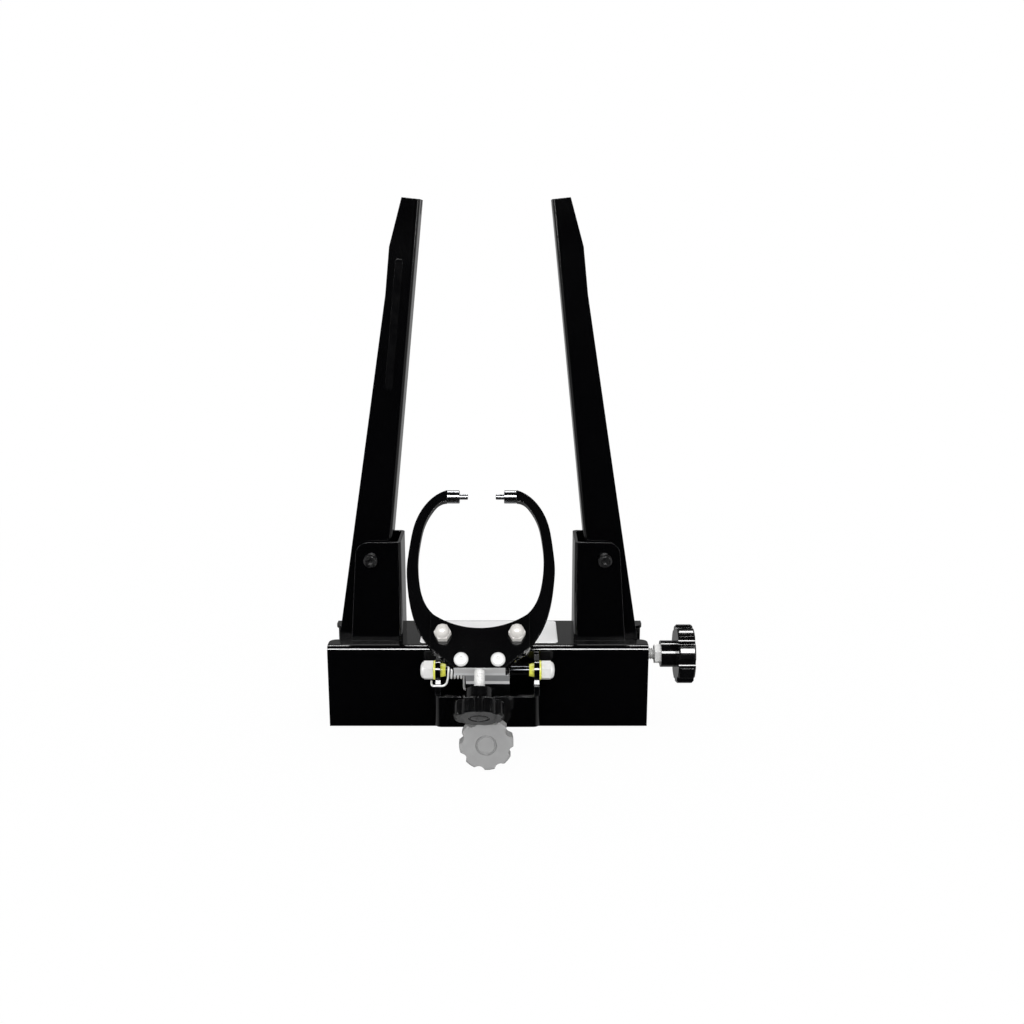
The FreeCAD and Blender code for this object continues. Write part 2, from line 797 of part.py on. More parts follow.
def make_knob(name, hub, hub_length, rim, rim_length, bore, bore_depth, turn="0"):
    """Lobed knob along Z: a hub, a rim with scallops round it and a shallow dish in its face.

    turn is the angle from X to the first scallop, in degrees.
    """
    total = f"({hub_length} + {rim_length})"
    outline = [
        (f"{bore} / 2 + running_gap", "0"), (f"{hub} / 2", "0"), (f"{hub} / 2", hub_length),
        (f"{rim} / 2 - knob_edge", hub_length), (f"{rim} / 2", f"{hub_length} + knob_edge"),
        (f"{rim} / 2", f"{total} - knob_edge"), (f"{rim} / 2 - knob_edge", total),
        ("knob_dish_radius", total), ("knob_dish_radius", f"{total} - knob_dish"),
        ("0", f"{total} - knob_dish"), ("0", bore_depth), (f"{bore} / 2 + running_gap", bore_depth),
    ]
    body = turned(name, outline)
    centre = f"({rim} / 2 + scallop_radius - scallop_depth)"
    middle = f"{hub_length} + {rim_length} / 2"
    first_notch = (f"{centre} * cos({turn})", f"{centre} * sin({turn})", "2 * scallop_radius")
    scallop = circles(body, "XY_Plane", [first_notch], middle)
    first = pocket(body, scallop, f"{rim_length} + 2 * overrun")
    pattern = body.newObject("PartDesign::PolarPattern", f"{name}_lobes")
    pattern.Originals = [first]
    pattern.Axis = (body_axis(body), [""])
    pattern.Angle = 360
    pattern.Occurrences = LOBES
    body.Tip = pattern
    return body


def make_lead_knob():
    """Large lobed knob at the right end of the lead screw."""
    body = make_knob(
        "lead_knob", "lead_hub", "lead_hub_length", "lead_knob", "lead_knob_length",
        "screw_diameter", "screw_right_end - jam_nut_start - jam_nut_height + face_gap")
    node("lead_knob", along(body, "x", ("jam_nut_start + jam_nut_height", "0", screw_up())))


# Bracket in front of the base, with the pivot rod of the calipers


def rod_y():
    """How far the rod lies in front of the middle of the base, as a negative Y."""
    return "(-base_depth / 2 - rod_out)"


def make_holder():
    """Bent sheet in front of the base: a front wall and two ears with bores for the rod's bushings."""
    front = "(-base_depth / 2 - holder_reach)"
    back = "(-base_depth / 2)"
    shell = doc.addObject("PartDesign::Body", "holder_shell")
    inner = "(holder_half - holder_wall)"
    plan = [
        ("-holder_half", back), ("-holder_half", front), ("holder_half", front), ("holder_half", back),
        (inner, back), (inner, f"{front} + holder_wall"), (f"-{inner}", f"{front} + holder_wall"),
        (f"-{inner}", back),
    ]
    height = "(rod_up + holder_nose - holder_bottom)"
    middle = "(rod_up + holder_nose + holder_bottom) / 2"
    pad(shell, polygon(shell, "XY_Plane", plan, middle), height)
    half = size("holder_half")
    front_value = -size("base_depth") / 2 - size("holder_reach")

    def outer_bend(edge):
        centre = edge.CenterOfMass
        return straight_along(edge, Z_AXIS) and near(abs(centre.x), half) and near(centre.y, front_value)

    def inner_bend(edge):
        centre = edge.CenterOfMass
        wall = size("holder_wall")
        at_corner = near(abs(centre.x), half - wall) and near(centre.y, front_value + wall)
        return straight_along(edge, Z_AXIS) and at_corner

    soften(shell, "holder_bend", outer_bend)
    soften(shell, "holder_bend - holder_wall", inner_bend)
    profile = doc.addObject("PartDesign::Body", "holder_profile")
    slope_y = f"({front} + holder_slope_back)"
    outline = [
        (f"{back} + overrun", "holder_bottom - overrun"), (f"{front} - overrun", "holder_bottom - overrun"),
        (f"{front} - overrun", "holder_front_top"), (f"{front} + holder_wall", "holder_front_top"),
        (slope_y, "holder_slope_top"), (rod_y(), "rod_up"),
        (rod_y(), "rod_up + holder_nose + overrun"), (f"{back} + overrun", "rod_up + holder_nose + overrun"),
    ]
    pad(profile, polygon(profile, "YZ_Plane", outline), "2 * holder_half + overrun")
    nose = cylinder(
        "holder_nose_bar", "2 * holder_nose", "2 * holder_half + overrun", "x",
        ("-holder_half - overrun / 2", rod_y(), "rod_up"))
    kept = common("holder_kept", shell, fuse("holder_outline", profile, nose))
    lobe = cylinder(
        "holder_lobe_disc", "2 * holder_lobe", "holder_wall", "y", ("0", front, "radial_up"))
    bore = cylinder(
        "holder_bore", "bush_body + 2 * running_gap", "2 * holder_half + overrun", "x",
        ("-holder_half - overrun / 2", rod_y(), "rod_up"))
    screw_hole = cylinder(
        "holder_screw_hole", "radial_insert + 2 * running_gap", "holder_wall + 2 * overrun", "y",
        ("0", f"{front} - overrun", "radial_up"))
    seat = cylinder(
        "holder_seat", "spring_wire + 2 * side_gap", "2 * holder_half + overrun", "x",
        ("-holder_half - overrun / 2", slope_y, "holder_slope_top"))
    node("caliper_bracket", cut("holder_cut", fuse("holder_whole", kept, lobe), bore, screw_hole, seat))


def make_rod_bushing(side, name):
    """Flanged plastic bushing in an ear of the front bracket, with a tapered nose inside."""
    bore = "rod_diameter / 2 + running_gap"
    length = "(holder_wall + bush_nose_length)"
    outline = [
        (bore, f"-{length}"), ("bush_nose / 2", f"-{length}"),
        ("bush_body / 2", "-holder_wall - bush_nose_length / 3"), ("bush_body / 2", "0"),
        ("bush_flange / 2", "0"), ("bush_flange / 2", "bush_flange_thick"), (bore, "bush_flange_thick"),
    ]
    way = "x" if side > 0 else "-x"
    node(name, along(turned(name, outline), way, (f"{side} * holder_half", rod_y(), "rod_up")))


def rod_end():
    """Where the nuts on the rod begin, measured from the middle."""
    return "(holder_half + bush_flange_thick + side_gap)"


def make_rod():
    """Round rod through both bushings."""
    half = f"({rod_end()} + rod_nut_height)"
    rod = cylinder("caliper_rod", "rod_diameter", f"2 * {half}", "x", (f"-{half}", rod_y(), "rod_up"))
    node("caliper_rod", rod)


def make_cap_nut(name, flats, hex_height, dome, bore):
    """Domed hexagon nut along Z, its flat face at its own origin."""
    blank = hexagon(f"{name}_hex", flats, hex_height)
    outline = [("0", "0")]
    for wide, high in DOME_SHARES:
        if not high:
            outline.append((f"({flats}) / 2 * {wide}", "0"))
        outline.append((f"({flats}) / 2 * {wide}", f"{hex_height} + {dome} * {high}"))
    outline.append(("0", f"{hex_height} + {dome}"))
    cap = turned(f"{name}_dome", outline)
    hole = cylinder(f"{name}_hole", f"{bore} + 2 * running_gap", hex_height)
    return cut(f"{name}_cut", fuse(f"{name}_body", blank, cap), hole)


def make_rod_nut(side, name):
    """Domed nut on an end of the rod."""
    nut = make_cap_nut(name, "rod_nut_flats", "rod_nut_height", "rod_nut_dome", "rod_diameter")
    way = "x" if side > 0 else "-x"
    node(name, along(nut, way, (f"{side} * {rod_end()}", rod_y(), "rod_up")))


# Radial adjustment


def make_radial_screw():
    """Threaded insert, screw, pressure tip and knob that push the foot of the carriage."""
    insert_start = "(-base_depth / 2 - holder_reach - radial_insert_proud)"
    insert = [
        ("radial_screw / 2 + running_gap", "0"), ("radial_insert / 2", "0"),
        ("radial_insert / 2", "radial_insert_length"),
        ("radial_screw / 2 + running_gap", "radial_insert_length"),
    ]
    node("radial_insert", along(turned("radial_insert", insert), "y", ("0", insert_start, "radial_up")))
    tip_end = f"({rod_y()} - carriage_leg / 2 - radial_gap)"
    tip_start = f"({tip_end} - radial_tip_length)"
    tip = [
        ("0", "radial_neck_length"), ("radial_neck / 2 + running_gap", "radial_neck_length"),
        ("radial_neck / 2 + running_gap", "0"), ("radial_tip / 2", "0"),
        ("radial_tip / 2", "radial_tip_length / 2"), ("radial_tip_nose / 2", "radial_tip_length"),
        ("0", "radial_tip_length"),
    ]
    node("radial_tip", along(turned("radial_tip", tip), "y", ("0", tip_start, "radial_up")))
    knob_face = "(-base_depth / 2 - radial_face_out)"
    knob_back = f"({knob_face} + radial_knob_length + radial_hub_length)"
    screw_start = f"({knob_back} - radial_grip)"
    shank = f"({tip_start} - face_gap - {screw_start})"
    screw = [
        ("0", "0"), ("radial_screw / 2", "0"), ("radial_screw / 2", shank), ("radial_neck / 2", shank),
        ("radial_neck / 2", f"{shank} + radial_neck_length"), ("0", f"{shank} + radial_neck_length"),
    ]
    node("radial_screw", along(turned("radial_screw", screw), "y", ("0", screw_start, "radial_up")))
    knob = make_knob(
        "radial_knob", "radial_hub", "radial_hub_length", "radial_knob", "radial_knob_length",
        "radial_screw", "radial_grip + face_gap", "radial_knob_turn")
    node("radial_knob", along(knob, "-y", ("0", knob_back, "radial_up")))


# Caliper head


def on_head(thing, at=("0", "0", "0")):
    """Place a thing made in the head's own frame, moved by three lengths of that frame."""
    right, up, out = at
    turn = "(90 - head_lean)"
    place(
        thing,
        (
            f"head_shift + ({right})",
            f"-base_depth / 2 - head_out + ({up}) * cos({turn}) - ({out}) * sin({turn})",
            f"head_up + ({up}) * sin({turn}) + ({out}) * cos({turn})",
        ),
        X_AXIS, "90 - head_lean")
    return thing


def make_yoke():
    """Milled yoke: a stem that holds the stud and two cheeks that hold the arms."""
    body = doc.addObject("PartDesign::Body", "yoke")
    half = size("yoke_half")
    wing = size("yoke_wing")
    flank = [(half, size("yoke_flank_foot")), (wing, size("yoke_flank_top"))]
    corners = [(half, 0)] + flank + [(wing, size("yoke_wing_top"))]
    right = [FreeCAD.Vector(x, y, 0) for x, y in corners]
    left = [FreeCAD.Vector(-point.x, point.y, 0) for point in reversed(right)]
    saddle = Part.Arc(right[-1], FreeCAD.Vector(0, size("yoke_saddle"), 0), left[0])
    edges = [Part.LineSegment(first, second) for first, second in zip(right, right[1:])]
    edges.append(saddle)
    edges += [Part.LineSegment(first, second) for first, second in zip(left, left[1:])]
    edges.append(Part.LineSegment(left[-1], right[0]))
    pad(body, curved(body, "XY_Plane", edges, "-yoke_thick / 2"), "yoke_thick")
    wide = "(yoke_wing + overrun)"
    slot = [
        (f"-{wide}", "yoke_slot_floor"), (wide, "yoke_slot_floor"),
        (wide, "yoke_wing_top + overrun"), (f"-{wide}", "yoke_wing_top + overrun"),
    ]
    pocket(body, polygon(body, "XY_Plane", slot, "-yoke_thick / 2"), "yoke_thick - 2 * yoke_cheek")
    bolts = []
    for side in (-1, 1):
        bolts.append((f"{side} * arm_pivot_x", "arm_pivot_y", "arm_bolt + 2 * running_gap"))
        bolts.append((f"{side} * button_x", "button_y", "button_screw + 2 * running_gap"))
    pocket(body, circles(body, "XY_Plane", bolts))
    stud_hole = cylinder(
        "yoke_stud_hole", "stud_diameter + 2 * running_gap", "wedge_bottom + 2 * overrun", "y",
        ("0", "-overrun", "-yoke_thick / 2"))
    node("caliper_yoke", on_head(cut("yoke_cut", body, stud_hole)))


def share_points(shares, side):
    """Points of an arm's edge from its shares."""
    half_width = ARM_HALF_WIDTH_SHARE * size("arm_pivot_x")
    return [FreeCAD.Vector(side * x * half_width, y * size("arm_tip_y"), 0) for x, y in shares]


def smooth(points):
    """Smooth curve through points."""
    curve = Part.BSplineCurve()
    curve.interpolate(points)
    return curve


def make_arm(side, label):
    """Curved arm from its nose on the wedge, round its pivot and up to its tip."""
    body = doc.addObject("PartDesign::Body", label)
    end_x = side * size("arm_end_x")
    tip_y = size("arm_tip_y")
    half_end = size("arm_end_width") / 2
    pivot_x = size("arm_pivot_x")
    pivot_y = size("arm_pivot_y")
    nose = FreeCAD.Vector(side * size("nose_x"), size("nose_y"), 0)
    radius = size("nose_radius")
    outer_start = FreeCAD.Vector(end_x, tip_y + half_end, 0)
    inner_start = FreeCAD.Vector(end_x, tip_y - half_end, 0)
    outer = [outer_start] + share_points(ARM_OUTER_SHARES, side)
    inner = [inner_start] + share_points(ARM_INNER_SHARES, side)
    foot = {}
    for name, (right, up) in ARM_FOOT_SHARES.items():
        foot[name] = FreeCAD.Vector(side * (pivot_x + right * radius), pivot_y + up * radius, 0)
    nose_low = nose + FreeCAD.Vector(side * radius / 2, -radius * math.cos(math.radians(30)), 0)
    nose_tip = nose + FreeCAD.Vector(-side * radius, 0, 0)
    nose_high = nose + FreeCAD.Vector(side * radius / 2, radius * math.cos(math.radians(30)), 0)
    edges = [
        smooth(outer),
        Part.LineSegment(outer[-1], foot["heel"]),
        Part.LineSegment(foot["heel"], foot["sole"]),
        Part.LineSegment(foot["sole"], nose_low),
        Part.Arc(nose_low, nose_tip, nose_high),
        Part.LineSegment(nose_high, foot["throat"]),
        Part.LineSegment(foot["throat"], foot["crook"]),
        Part.LineSegment(foot["crook"], inner[-1]),
        smooth(list(reversed(inner))),
        Part.LineSegment(inner_start, outer_start),
    ]
    pad(body, curved(body, "XY_Plane", edges, "-yoke_thick / 2"), "arm_thick")
    bore = [(f"{side} * arm_pivot_x", "arm_pivot_y", "arm_bolt + 2 * running_gap")]
    pocket(body, circles(body, "XY_Plane", bore))
    node(label, on_head(body))


def make_arm_tip(side, label):
    """Barrel at the end of an arm and the feeler pin in it."""
    pin_radius = "tip_pin / 2"
    wide = "barrel_diameter / 2"
    barrel = [
        ("0", "0"), (f"{wide} - tip_chamfer", "0"), (wide, "tip_chamfer"),
        (wide, "barrel_length - tip_chamfer"), (f"{wide} - tip_chamfer", "barrel_length"),
        (f"{pin_radius} + running_gap", "barrel_length"),
        (f"{pin_radius} + running_gap", "barrel_length - tip_pin_root"),
        ("0", "barrel_length - tip_pin_root"),
    ]
    way = "-x" if side > 0 else "x"
    blank = turned(f"{label}_barrel_turned", barrel)
    along(blank, way, (f"{side} * arm_end_x", "arm_tip_y", "-yoke_thick / 2"))
    node(f"{label}_barrel", on_head(group(f"{label}_barrel_set", blank)))
    long = "(tip_pin_root + tip_pin_length)"
    pin = [
        ("0", "0"), (pin_radius, "0"), (pin_radius, f"{long} - tip_chamfer"),
        (f"{pin_radius} - tip_chamfer", long), ("0", long),
    ]
    start = f"{side} * (arm_end_x - barrel_length + tip_pin_root)"
    shaped = along(turned(f"{label}_pin_turned", pin), way, (start, "arm_tip_y", "-yoke_thick / 2"))
    node(f"{label}_pin", on_head(group(f"{label}_pin_set", shaped)))


def make_arm_bolt(side, label):
    """Bolt from behind the carriage through yoke and arm, with a domed nut in front."""
    depth = "(yoke_thick + carriage_plate)"
    shank = "arm_bolt / 2"
    head = "arm_bolt_head / 2"
    outline = [
        ("0", f"-{depth} - arm_bolt_head_height"),
        (f"{head} - tip_chamfer", f"-{depth} - arm_bolt_head_height"),
        (head, f"-{depth} - arm_bolt_head_height + tip_chamfer"), (head, f"-{depth}"),
        (shank, f"-{depth}"), (shank, "dome_hex_height - face_gap"), ("0", "dome_hex_height - face_gap"),
    ]
    bolt = turned(f"{label}_bolt", outline)
    node(f"{label}_bolt", on_head(bolt, (f"{side} * arm_pivot_x", "arm_pivot_y", "0")))
    nut = make_cap_nut(f"{label}_nut", "dome_flats", "dome_hex_height", "dome_height", "arm_bolt")
    node(f"{label}_nut", on_head(nut, (f"{side} * arm_pivot_x", "arm_pivot_y", "0")))


def make_button_screws():
    """Two button head screws that hold the yoke on the carriage."""
    screws = []
    head = "button_head / 2"
    shank = "button_screw / 2"
    depth = "(yoke_thick + carriage_plate - 2 * face_gap)"
    for side in (-1, 1):
        outline = [("0", f"-{depth}"), (shank, f"-{depth}"), (shank, "0"), (head, "0")]
        for wide, high in BUTTON_SHARES:
            outline.append((f"{wide} * {head}", f"{high} * button_height"))
        outline.append(("0", "button_height"))
        blank = turned("button_blank", outline)
        floor = f"{BUTTON_FLOOR_SHARE} * button_height"
        socket = hexagon("button_socket_bar", "button_socket", "button_height", "z", ("0", "0", floor))
        screws.append(place(cut("button_cut", blank, socket), (f"{side} * button_x", "button_y", "0")))
    node("button_screws", on_head(group("button_pair", *screws)))


def wedge_half(height):
    """Half width of the wedge at a height, a formula that keeps its gap to the noses."""
    reach = "(nose_radius + wedge_gap)"
    at_x = f"(nose_x - {reach} * cos(wedge_slope))"
    at_y = f"(nose_y - {reach} * sin(wedge_slope))"
    return f"({at_x} - ({height} - {at_y}) * tan(wedge_slope))"


def make_wedge():
    """Wedge on the end of the stud that spreads the noses of the arms."""
    body = doc.addObject("PartDesign::Body", "wedge")
    low = wedge_half("wedge_bottom")
    high = wedge_half("wedge_top")
    outline = [
        (f"-{low}", "wedge_bottom"), (low, "wedge_bottom"), (high, "wedge_top"), (f"-{high}", "wedge_top"),
    ]
    pad(body, polygon(body, "XY_Plane", outline, "-yoke_thick / 2"), "arm_thick")
    bore = cylinder(
        "wedge_bore", "stud_tip + 2 * running_gap", "stud_tip_length + overrun", "y",
        ("0", "wedge_bottom - overrun", "-yoke_thick / 2"))
    node("caliper_wedge", on_head(cut("wedge_cut", body, bore)))


def make_stud():
    """Threaded stud with a thin end that turns in the wedge."""
    length = "(stud_shown + wedge_bottom - face_gap + caliper_hub_length)"
    outline = [
        ("0", "0"), ("stud_diameter / 2", "0"), ("stud_diameter / 2", length), ("stud_tip / 2", length),
        ("stud_tip / 2", f"{length} + stud_tip_length"), ("0", f"{length} + stud_tip_length"),
    ]
    start = ("0", "-stud_shown - caliper_hub_length", "-yoke_thick / 2")
    stud = along(turned("stud_turned", outline), "y", start)
    node("caliper_stud", on_head(group("stud_set", stud)))
    knob = make_knob(
        "caliper_knob_turned", "caliper_hub", "caliper_hub_length", "caliper_knob", "caliper_knob_length",
        "stud_diameter", "caliper_hub_length + face_gap")
    along(knob, "-y", ("0", "-stud_shown", "-yoke_thick / 2"))
    node("caliper_knob", on_head(group("caliper_knob_set", knob)))


def rod_on_head():
    """Place of the rod in the head's frame: up its slope and out of its face."""
    turn = "(90 - head_lean)"
    back = "(head_out - rod_out)"
    rise = "(rod_up - head_up)"
    return (
        f"({back} * cos({turn}) + {rise} * sin({turn}))",
        f"({rise} * cos({turn}) - {back} * sin({turn}))",
    )


def make_carriage():
    """Plate behind the yoke, hollow web back to a boss round the rod, and a leg that hangs down."""
    plate = doc.addObject("PartDesign::Body", "carriage_plate_body")
    wing = "(yoke_wing - 2 * side_gap)"
    low = "(arm_pivot_y - arm_bolt_head)"
    high = "(arm_pivot_y + carriage_wing_rise)"
    outline = [
        ("-yoke_half", "0"), ("yoke_half", "0"), ("yoke_half", "yoke_slot_floor"), (wing, low), (wing, high),
        (f"-{wing}", high), (f"-{wing}", low), ("-yoke_half", "yoke_slot_floor"),
    ]
    middle = "-yoke_thick - carriage_plate / 2"
    pad(plate, polygon(plate, "XY_Plane", outline, middle), "carriage_plate")
    holes = []
    for side in (-1, 1):
        holes.append((f"{side} * arm_pivot_x", "arm_pivot_y", "arm_bolt + 2 * running_gap"))
        holes.append((f"{side} * button_x", "button_y", "button_screw + 2 * running_gap"))
    pocket(plate, circles(plate, "XY_Plane", holes, middle), "2 * carriage_plate")
    on_head(plate)
    width = "(carriage_left + carriage_right)"
    left = "(head_shift - carriage_left)"
    centre = "(carriage_right - carriage_left) / 2"
    boss = cylinder("carriage_boss_bar", "2 * carriage_boss", width, "x", (left, rod_y(), "rod_up"))
    rod_slope, rod_depth = rod_on_head()
    web = doc.addObject("PartDesign::Body", "carriage_web")
    back = "(-yoke_thick - carriage_plate)"
    half = "(carriage_boss - side_gap)"
    profile = [
        ("0", back), ("0", "-carriage_reach"), (f"{rod_slope} - {half}", rod_depth),
        (f"{rod_slope} + {half}", rod_depth), (f"{rod_slope} + {half}", back),
    ]
    pad(web, polygon(web, "YZ_Plane", profile, centre), width)

    def under_bend(edge):
        middle = edge.CenterOfMass
        return straight_along(edge, X_AXIS) and near(middle.y, 0) and near(middle.z, -size("carriage_reach"))

    soften(web, "carriage_bend", under_bend)
    top = f"({rod_slope} + carriage_boss + overrun)"
    rear = f"{rod_depth} + carriage_boss + carriage_side"
    front = f"{back} + overrun"
    hollow = [
        ("carriage_floor", front), ("carriage_floor", "-carriage_reach"), (rod_slope, rear), (top, rear),
        (top, front),
    ]
    pocket(web, polygon(web, "YZ_Plane", hollow, centre), f"{width} - 2 * carriage_side")
    on_head(web)
    leg = box(
        "carriage_leg_bar", (left, f"{rod_y()} - carriage_leg / 2", "carriage_leg_bottom"),
        (width, "carriage_leg", "rod_up - carriage_leg_bottom"))
    bore = cylinder(
        "carriage_bore", "rod_diameter + 2 * running_gap", f"{width} + 2 * overrun", "x",
        (f"{left} - overrun", rod_y(), "rod_up"))
    whole = fuse("carriage_body", plate, boss, web, leg)
    node("caliper_carriage", cut("carriage_cut", whole, bore))


def unit(vector):
    """Same direction with a length of one."""
    return vector / vector.Length


def tangent_arc(start, corner, end):
    """Arc that leaves one point towards a corner and reaches another one from it."""
    middle = (start + end) / 2
    height = (corner - middle).Length
    leg = (corner - start).Length
    to_centre = leg * leg / height
    radius = math.sqrt(to_centre * to_centre - leg * leg)
    return Part.Arc(start, corner + (middle - corner) / height * (to_centre - radius), end), radius


def wire_path(stations):
    """Straight runs and pairs of arcs through stations of a point and a direction."""
    edges = []
    radii = []
    for (start, leaving), (end, arriving) in zip(stations, stations[1:]):
        chord = end - start
        bend = 1 - leaving.dot(arriving)
        if bend < 1e-9 and unit(chord).dot(leaving) > 1 - 1e-9:
            edges.append(Part.LineSegment(start, end).toShape())
            continue
        both = chord.dot(leaving + arriving)
        if bend < 1e-9:
            reach = chord.dot(chord) / (2 * both)
        else:
            reach = (math.sqrt(both * both + 2 * bend * chord.dot(chord)) - both) / (2 * bend)
        first = start + leaving * reach
        second = end - arriving * reach
        joint = (first + second) / 2
        for arc, radius in (tangent_arc(start, first, joint), tangent_arc(joint, second, end)):
            edges.append(arc.toShape())
            radii.append(radius)
    return Part.Wire(edges), min(radii)


def least_gap(path, wire):
    """Least distance between two stretches of a wire that are not neighbours along it."""
    points = path.discretize(Distance=wire / 4)
    apart = int(math.ceil(4 * math.pi))
    least = path.Length
    for first in range(len(points)):
        for second in range(first + apart, len(points)):
            least = min(least, points[first].distanceToPoint(points[second]))
    return least - wire


def spring_stations():
    """Stations of the torsion spring: hook round the left ear, coil, end behind the carriage's leg."""
    wire = size("spring_wire")
    rod = FreeCAD.Vector(0, -size("base_depth") / 2 - size("rod_out"), size("rod_up"))
    clear = wire / 2 + size("side_gap")
    front = -size("base_depth") / 2 - size("holder_reach")
    seat = FreeCAD.Vector(0, front + size("holder_slope_back"), size("holder_slope_top"))
    outside = -size("holder_half") - clear
    bend = size("spring_bend")
    hook_tip = FreeCAD.Vector(outside - bend, seat.y + 2 * bend, seat.z + bend)
    hook_way = unit(FreeCAD.Vector(0, -2, -1))
    stations = [(hook_tip, hook_way), (hook_tip + hook_way * wire, hook_way)]
    stations.append((FreeCAD.Vector(outside, seat.y, seat.z), X_AXIS))
    stations.append((FreeCAD.Vector(outside + size("spring_hook_length"), seat.y, seat.z), X_AXIS))
    radius = size("spring_coil_radius")
    coil_end = size("head_shift") - size("carriage_left") - size("spring_seat_gap") - wire / 2
    coil_start = coil_end - size("spring_coil_length")
    leg_y = rod.y + size("carriage_leg") / 2 + clear
    leg_foot = FreeCAD.Vector(coil_end, leg_y, rod.z - size("spring_leg_drop"))
    down = FreeCAD.Vector(0, leg_foot.y - rod.y, leg_foot.z - rod.z)
    end_angle = math.degrees(math.atan2(down.z, down.y) + math.acos(radius / down.Length))
    sweep = SPRING_START_DEGREES - end_angle + 360 * SPRING_FULL_TURNS
    steps = int(math.ceil(sweep / 90))
    for step in range(steps + 1):
        share = step / steps
        angle = math.radians(SPRING_START_DEGREES - sweep * share)
        point = FreeCAD.Vector(
            coil_start + size("spring_coil_length") * share,
            rod.y + radius * math.cos(angle), rod.z + radius * math.sin(angle))
        advance = size("spring_coil_length") / (radius * math.radians(sweep))
        way = unit(FreeCAD.Vector(advance, math.sin(angle), -math.cos(angle)))
        stations.append((point, way))
    coil_out = stations[-1][0]
    leg_way = unit(leg_foot - coil_out)
    stations.append((coil_out + leg_way * 2 * bend, leg_way))
    stations.append((leg_foot - leg_way * bend, leg_way))
    stations.append((leg_foot + X_AXIS * bend, X_AXIS))
    stations.append((leg_foot + X_AXIS * size("spring_leg_hook"), X_AXIS))
    return stations


def make_torsion_spring():
    """Round wire swept along its path, with its least radius and gap printed."""
    wire = size("spring_wire")
    stations = spring_stations()
    path, radius = wire_path(stations)
    start, way = stations[0]
    section = Part.Wire([Part.Circle(start, way, wire / 2).toShape()])
    solid = path.makePipeShell([section], True, False)
    thing = doc.addObject("Part::Feature", "torsion_spring")
    thing.Shape = solid
    print(f"torsion spring: wire {path.Length:.1f} mm long, least bend radius {radius:.2f} mm")
    print(f"torsion spring: least gap to itself {least_gap(path, wire):.2f} mm")
    section_area = math.pi * wire * wire / 4
    print(f"torsion spring: volume {solid.Volume:.1f}, section times length {section_area * path.Length:.1f}")
    node("torsion_spring", thing)


def main():
    make_base()
    for side, word in ((-1, "left"), (1, "right")):
        make_upright_bracket(side, f"upright_bracket_{word}")
        make_upright(side, f"upright_{word}")
        make_pivot_bolt(side, f"pivot_bolt_{word}")
        make_pivot_nut(side, f"pivot_nut_{word}")
        make_pivot_spacers(side, f"pivot_spacers_{word}")
        make_trunnion_nut(side, f"trunnion_nut_{word}")
        make_rod_bushing(side, f"rod_bushing_{word}")
        make_rod_nut(side, f"rod_nut_{word}")
        make_arm(side, f"caliper_arm_{word}")
        make_arm_tip(side, f"arm_{word}")
        make_arm_bolt(side, f"arm_pivot_{word}")
    make_screw_bearing()
    make_lead_screw()
    make_jam_nut()
    make_lead_knob()
    make_holder()
    make_rod()
    make_radial_screw()
    make_yoke()
    make_button_screws()
    make_wedge()
    make_stud()
    make_carriage()
    make_torsion_spring()
    doc.recompute()
    check_and_write()


def check_and_write():
    """Stop on any failed object, then write one file for each sub-part."""
    for thing in doc.Objects:
        if "Invalid" in thing.State or "Error" in thing.State:
            raise RuntimeError(f"{thing.Name} failed: {thing.State}")
    for thing in nodes:
        if thing.Shape.isNull() or not thing.Shape.isValid() or not thing.Shape.Solids:
            raise RuntimeError(f"{thing.Label} has no valid solid")
    os.makedirs("parts", exist_ok=True)
    for thing in nodes:
        thing.Shape.exportStep(f"parts/{thing.Label}.step")
        print(f"{thing.Label}: {len(thing.Shape.Solids)} solid(s), {thing.Shape.Volume:.0f} mm3")


main()
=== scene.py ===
import math

import bpy
import numpy as np
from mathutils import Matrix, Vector

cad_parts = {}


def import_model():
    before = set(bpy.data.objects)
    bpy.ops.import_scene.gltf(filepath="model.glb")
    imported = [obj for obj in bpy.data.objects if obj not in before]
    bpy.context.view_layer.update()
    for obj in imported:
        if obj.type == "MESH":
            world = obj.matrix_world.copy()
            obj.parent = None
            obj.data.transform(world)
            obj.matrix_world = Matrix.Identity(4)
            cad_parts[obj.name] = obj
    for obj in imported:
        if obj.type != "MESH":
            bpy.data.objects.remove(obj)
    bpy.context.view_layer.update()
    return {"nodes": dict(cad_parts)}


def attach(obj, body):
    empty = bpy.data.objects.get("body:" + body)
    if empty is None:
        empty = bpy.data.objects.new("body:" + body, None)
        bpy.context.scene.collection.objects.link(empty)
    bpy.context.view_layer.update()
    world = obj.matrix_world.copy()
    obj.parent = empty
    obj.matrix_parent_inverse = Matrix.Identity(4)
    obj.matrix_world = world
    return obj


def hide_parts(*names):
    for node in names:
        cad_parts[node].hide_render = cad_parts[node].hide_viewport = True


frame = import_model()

nodes = frame["nodes"]

# Sizes are in millimetres, as in the part's source, and become metres where a mesh is made.
MM = 0.001

# Frame of the caliper head: origin at the lower front edge of the yoke, up its slope, out of its face.
HEAD = np.array([-5.5, -130.6, 94.2])
HEAD_LEAN = math.radians(40.0)
UP_SLOPE = np.array([0.0, math.sin(HEAD_LEAN), math.cos(HEAD_LEAN)])
OUT_OF_FACE = np.array([0.0, -math.cos(HEAD_LEAN), math.sin(HEAD_LEAN)])
YOKE_MIDDLE = -6.5
STUD_SHOWN = 17.6
CALIPER_HUB = 12.0
CALIPER_KNOB_END = 43.1

# Left upright: its pivot, and how far it leans in at the top.
PIVOT = np.array([-110.6, 0.0, 161.0])
LEAN = math.radians(6.02)
UPRIGHT_ACROSS = np.array([-math.cos(LEAN), 0.0, math.sin(LEAN)])
UPRIGHT_UP = np.array([math.sin(LEAN), 0.0, math.cos(LEAN)])
UPRIGHT_FRONT = -19.0

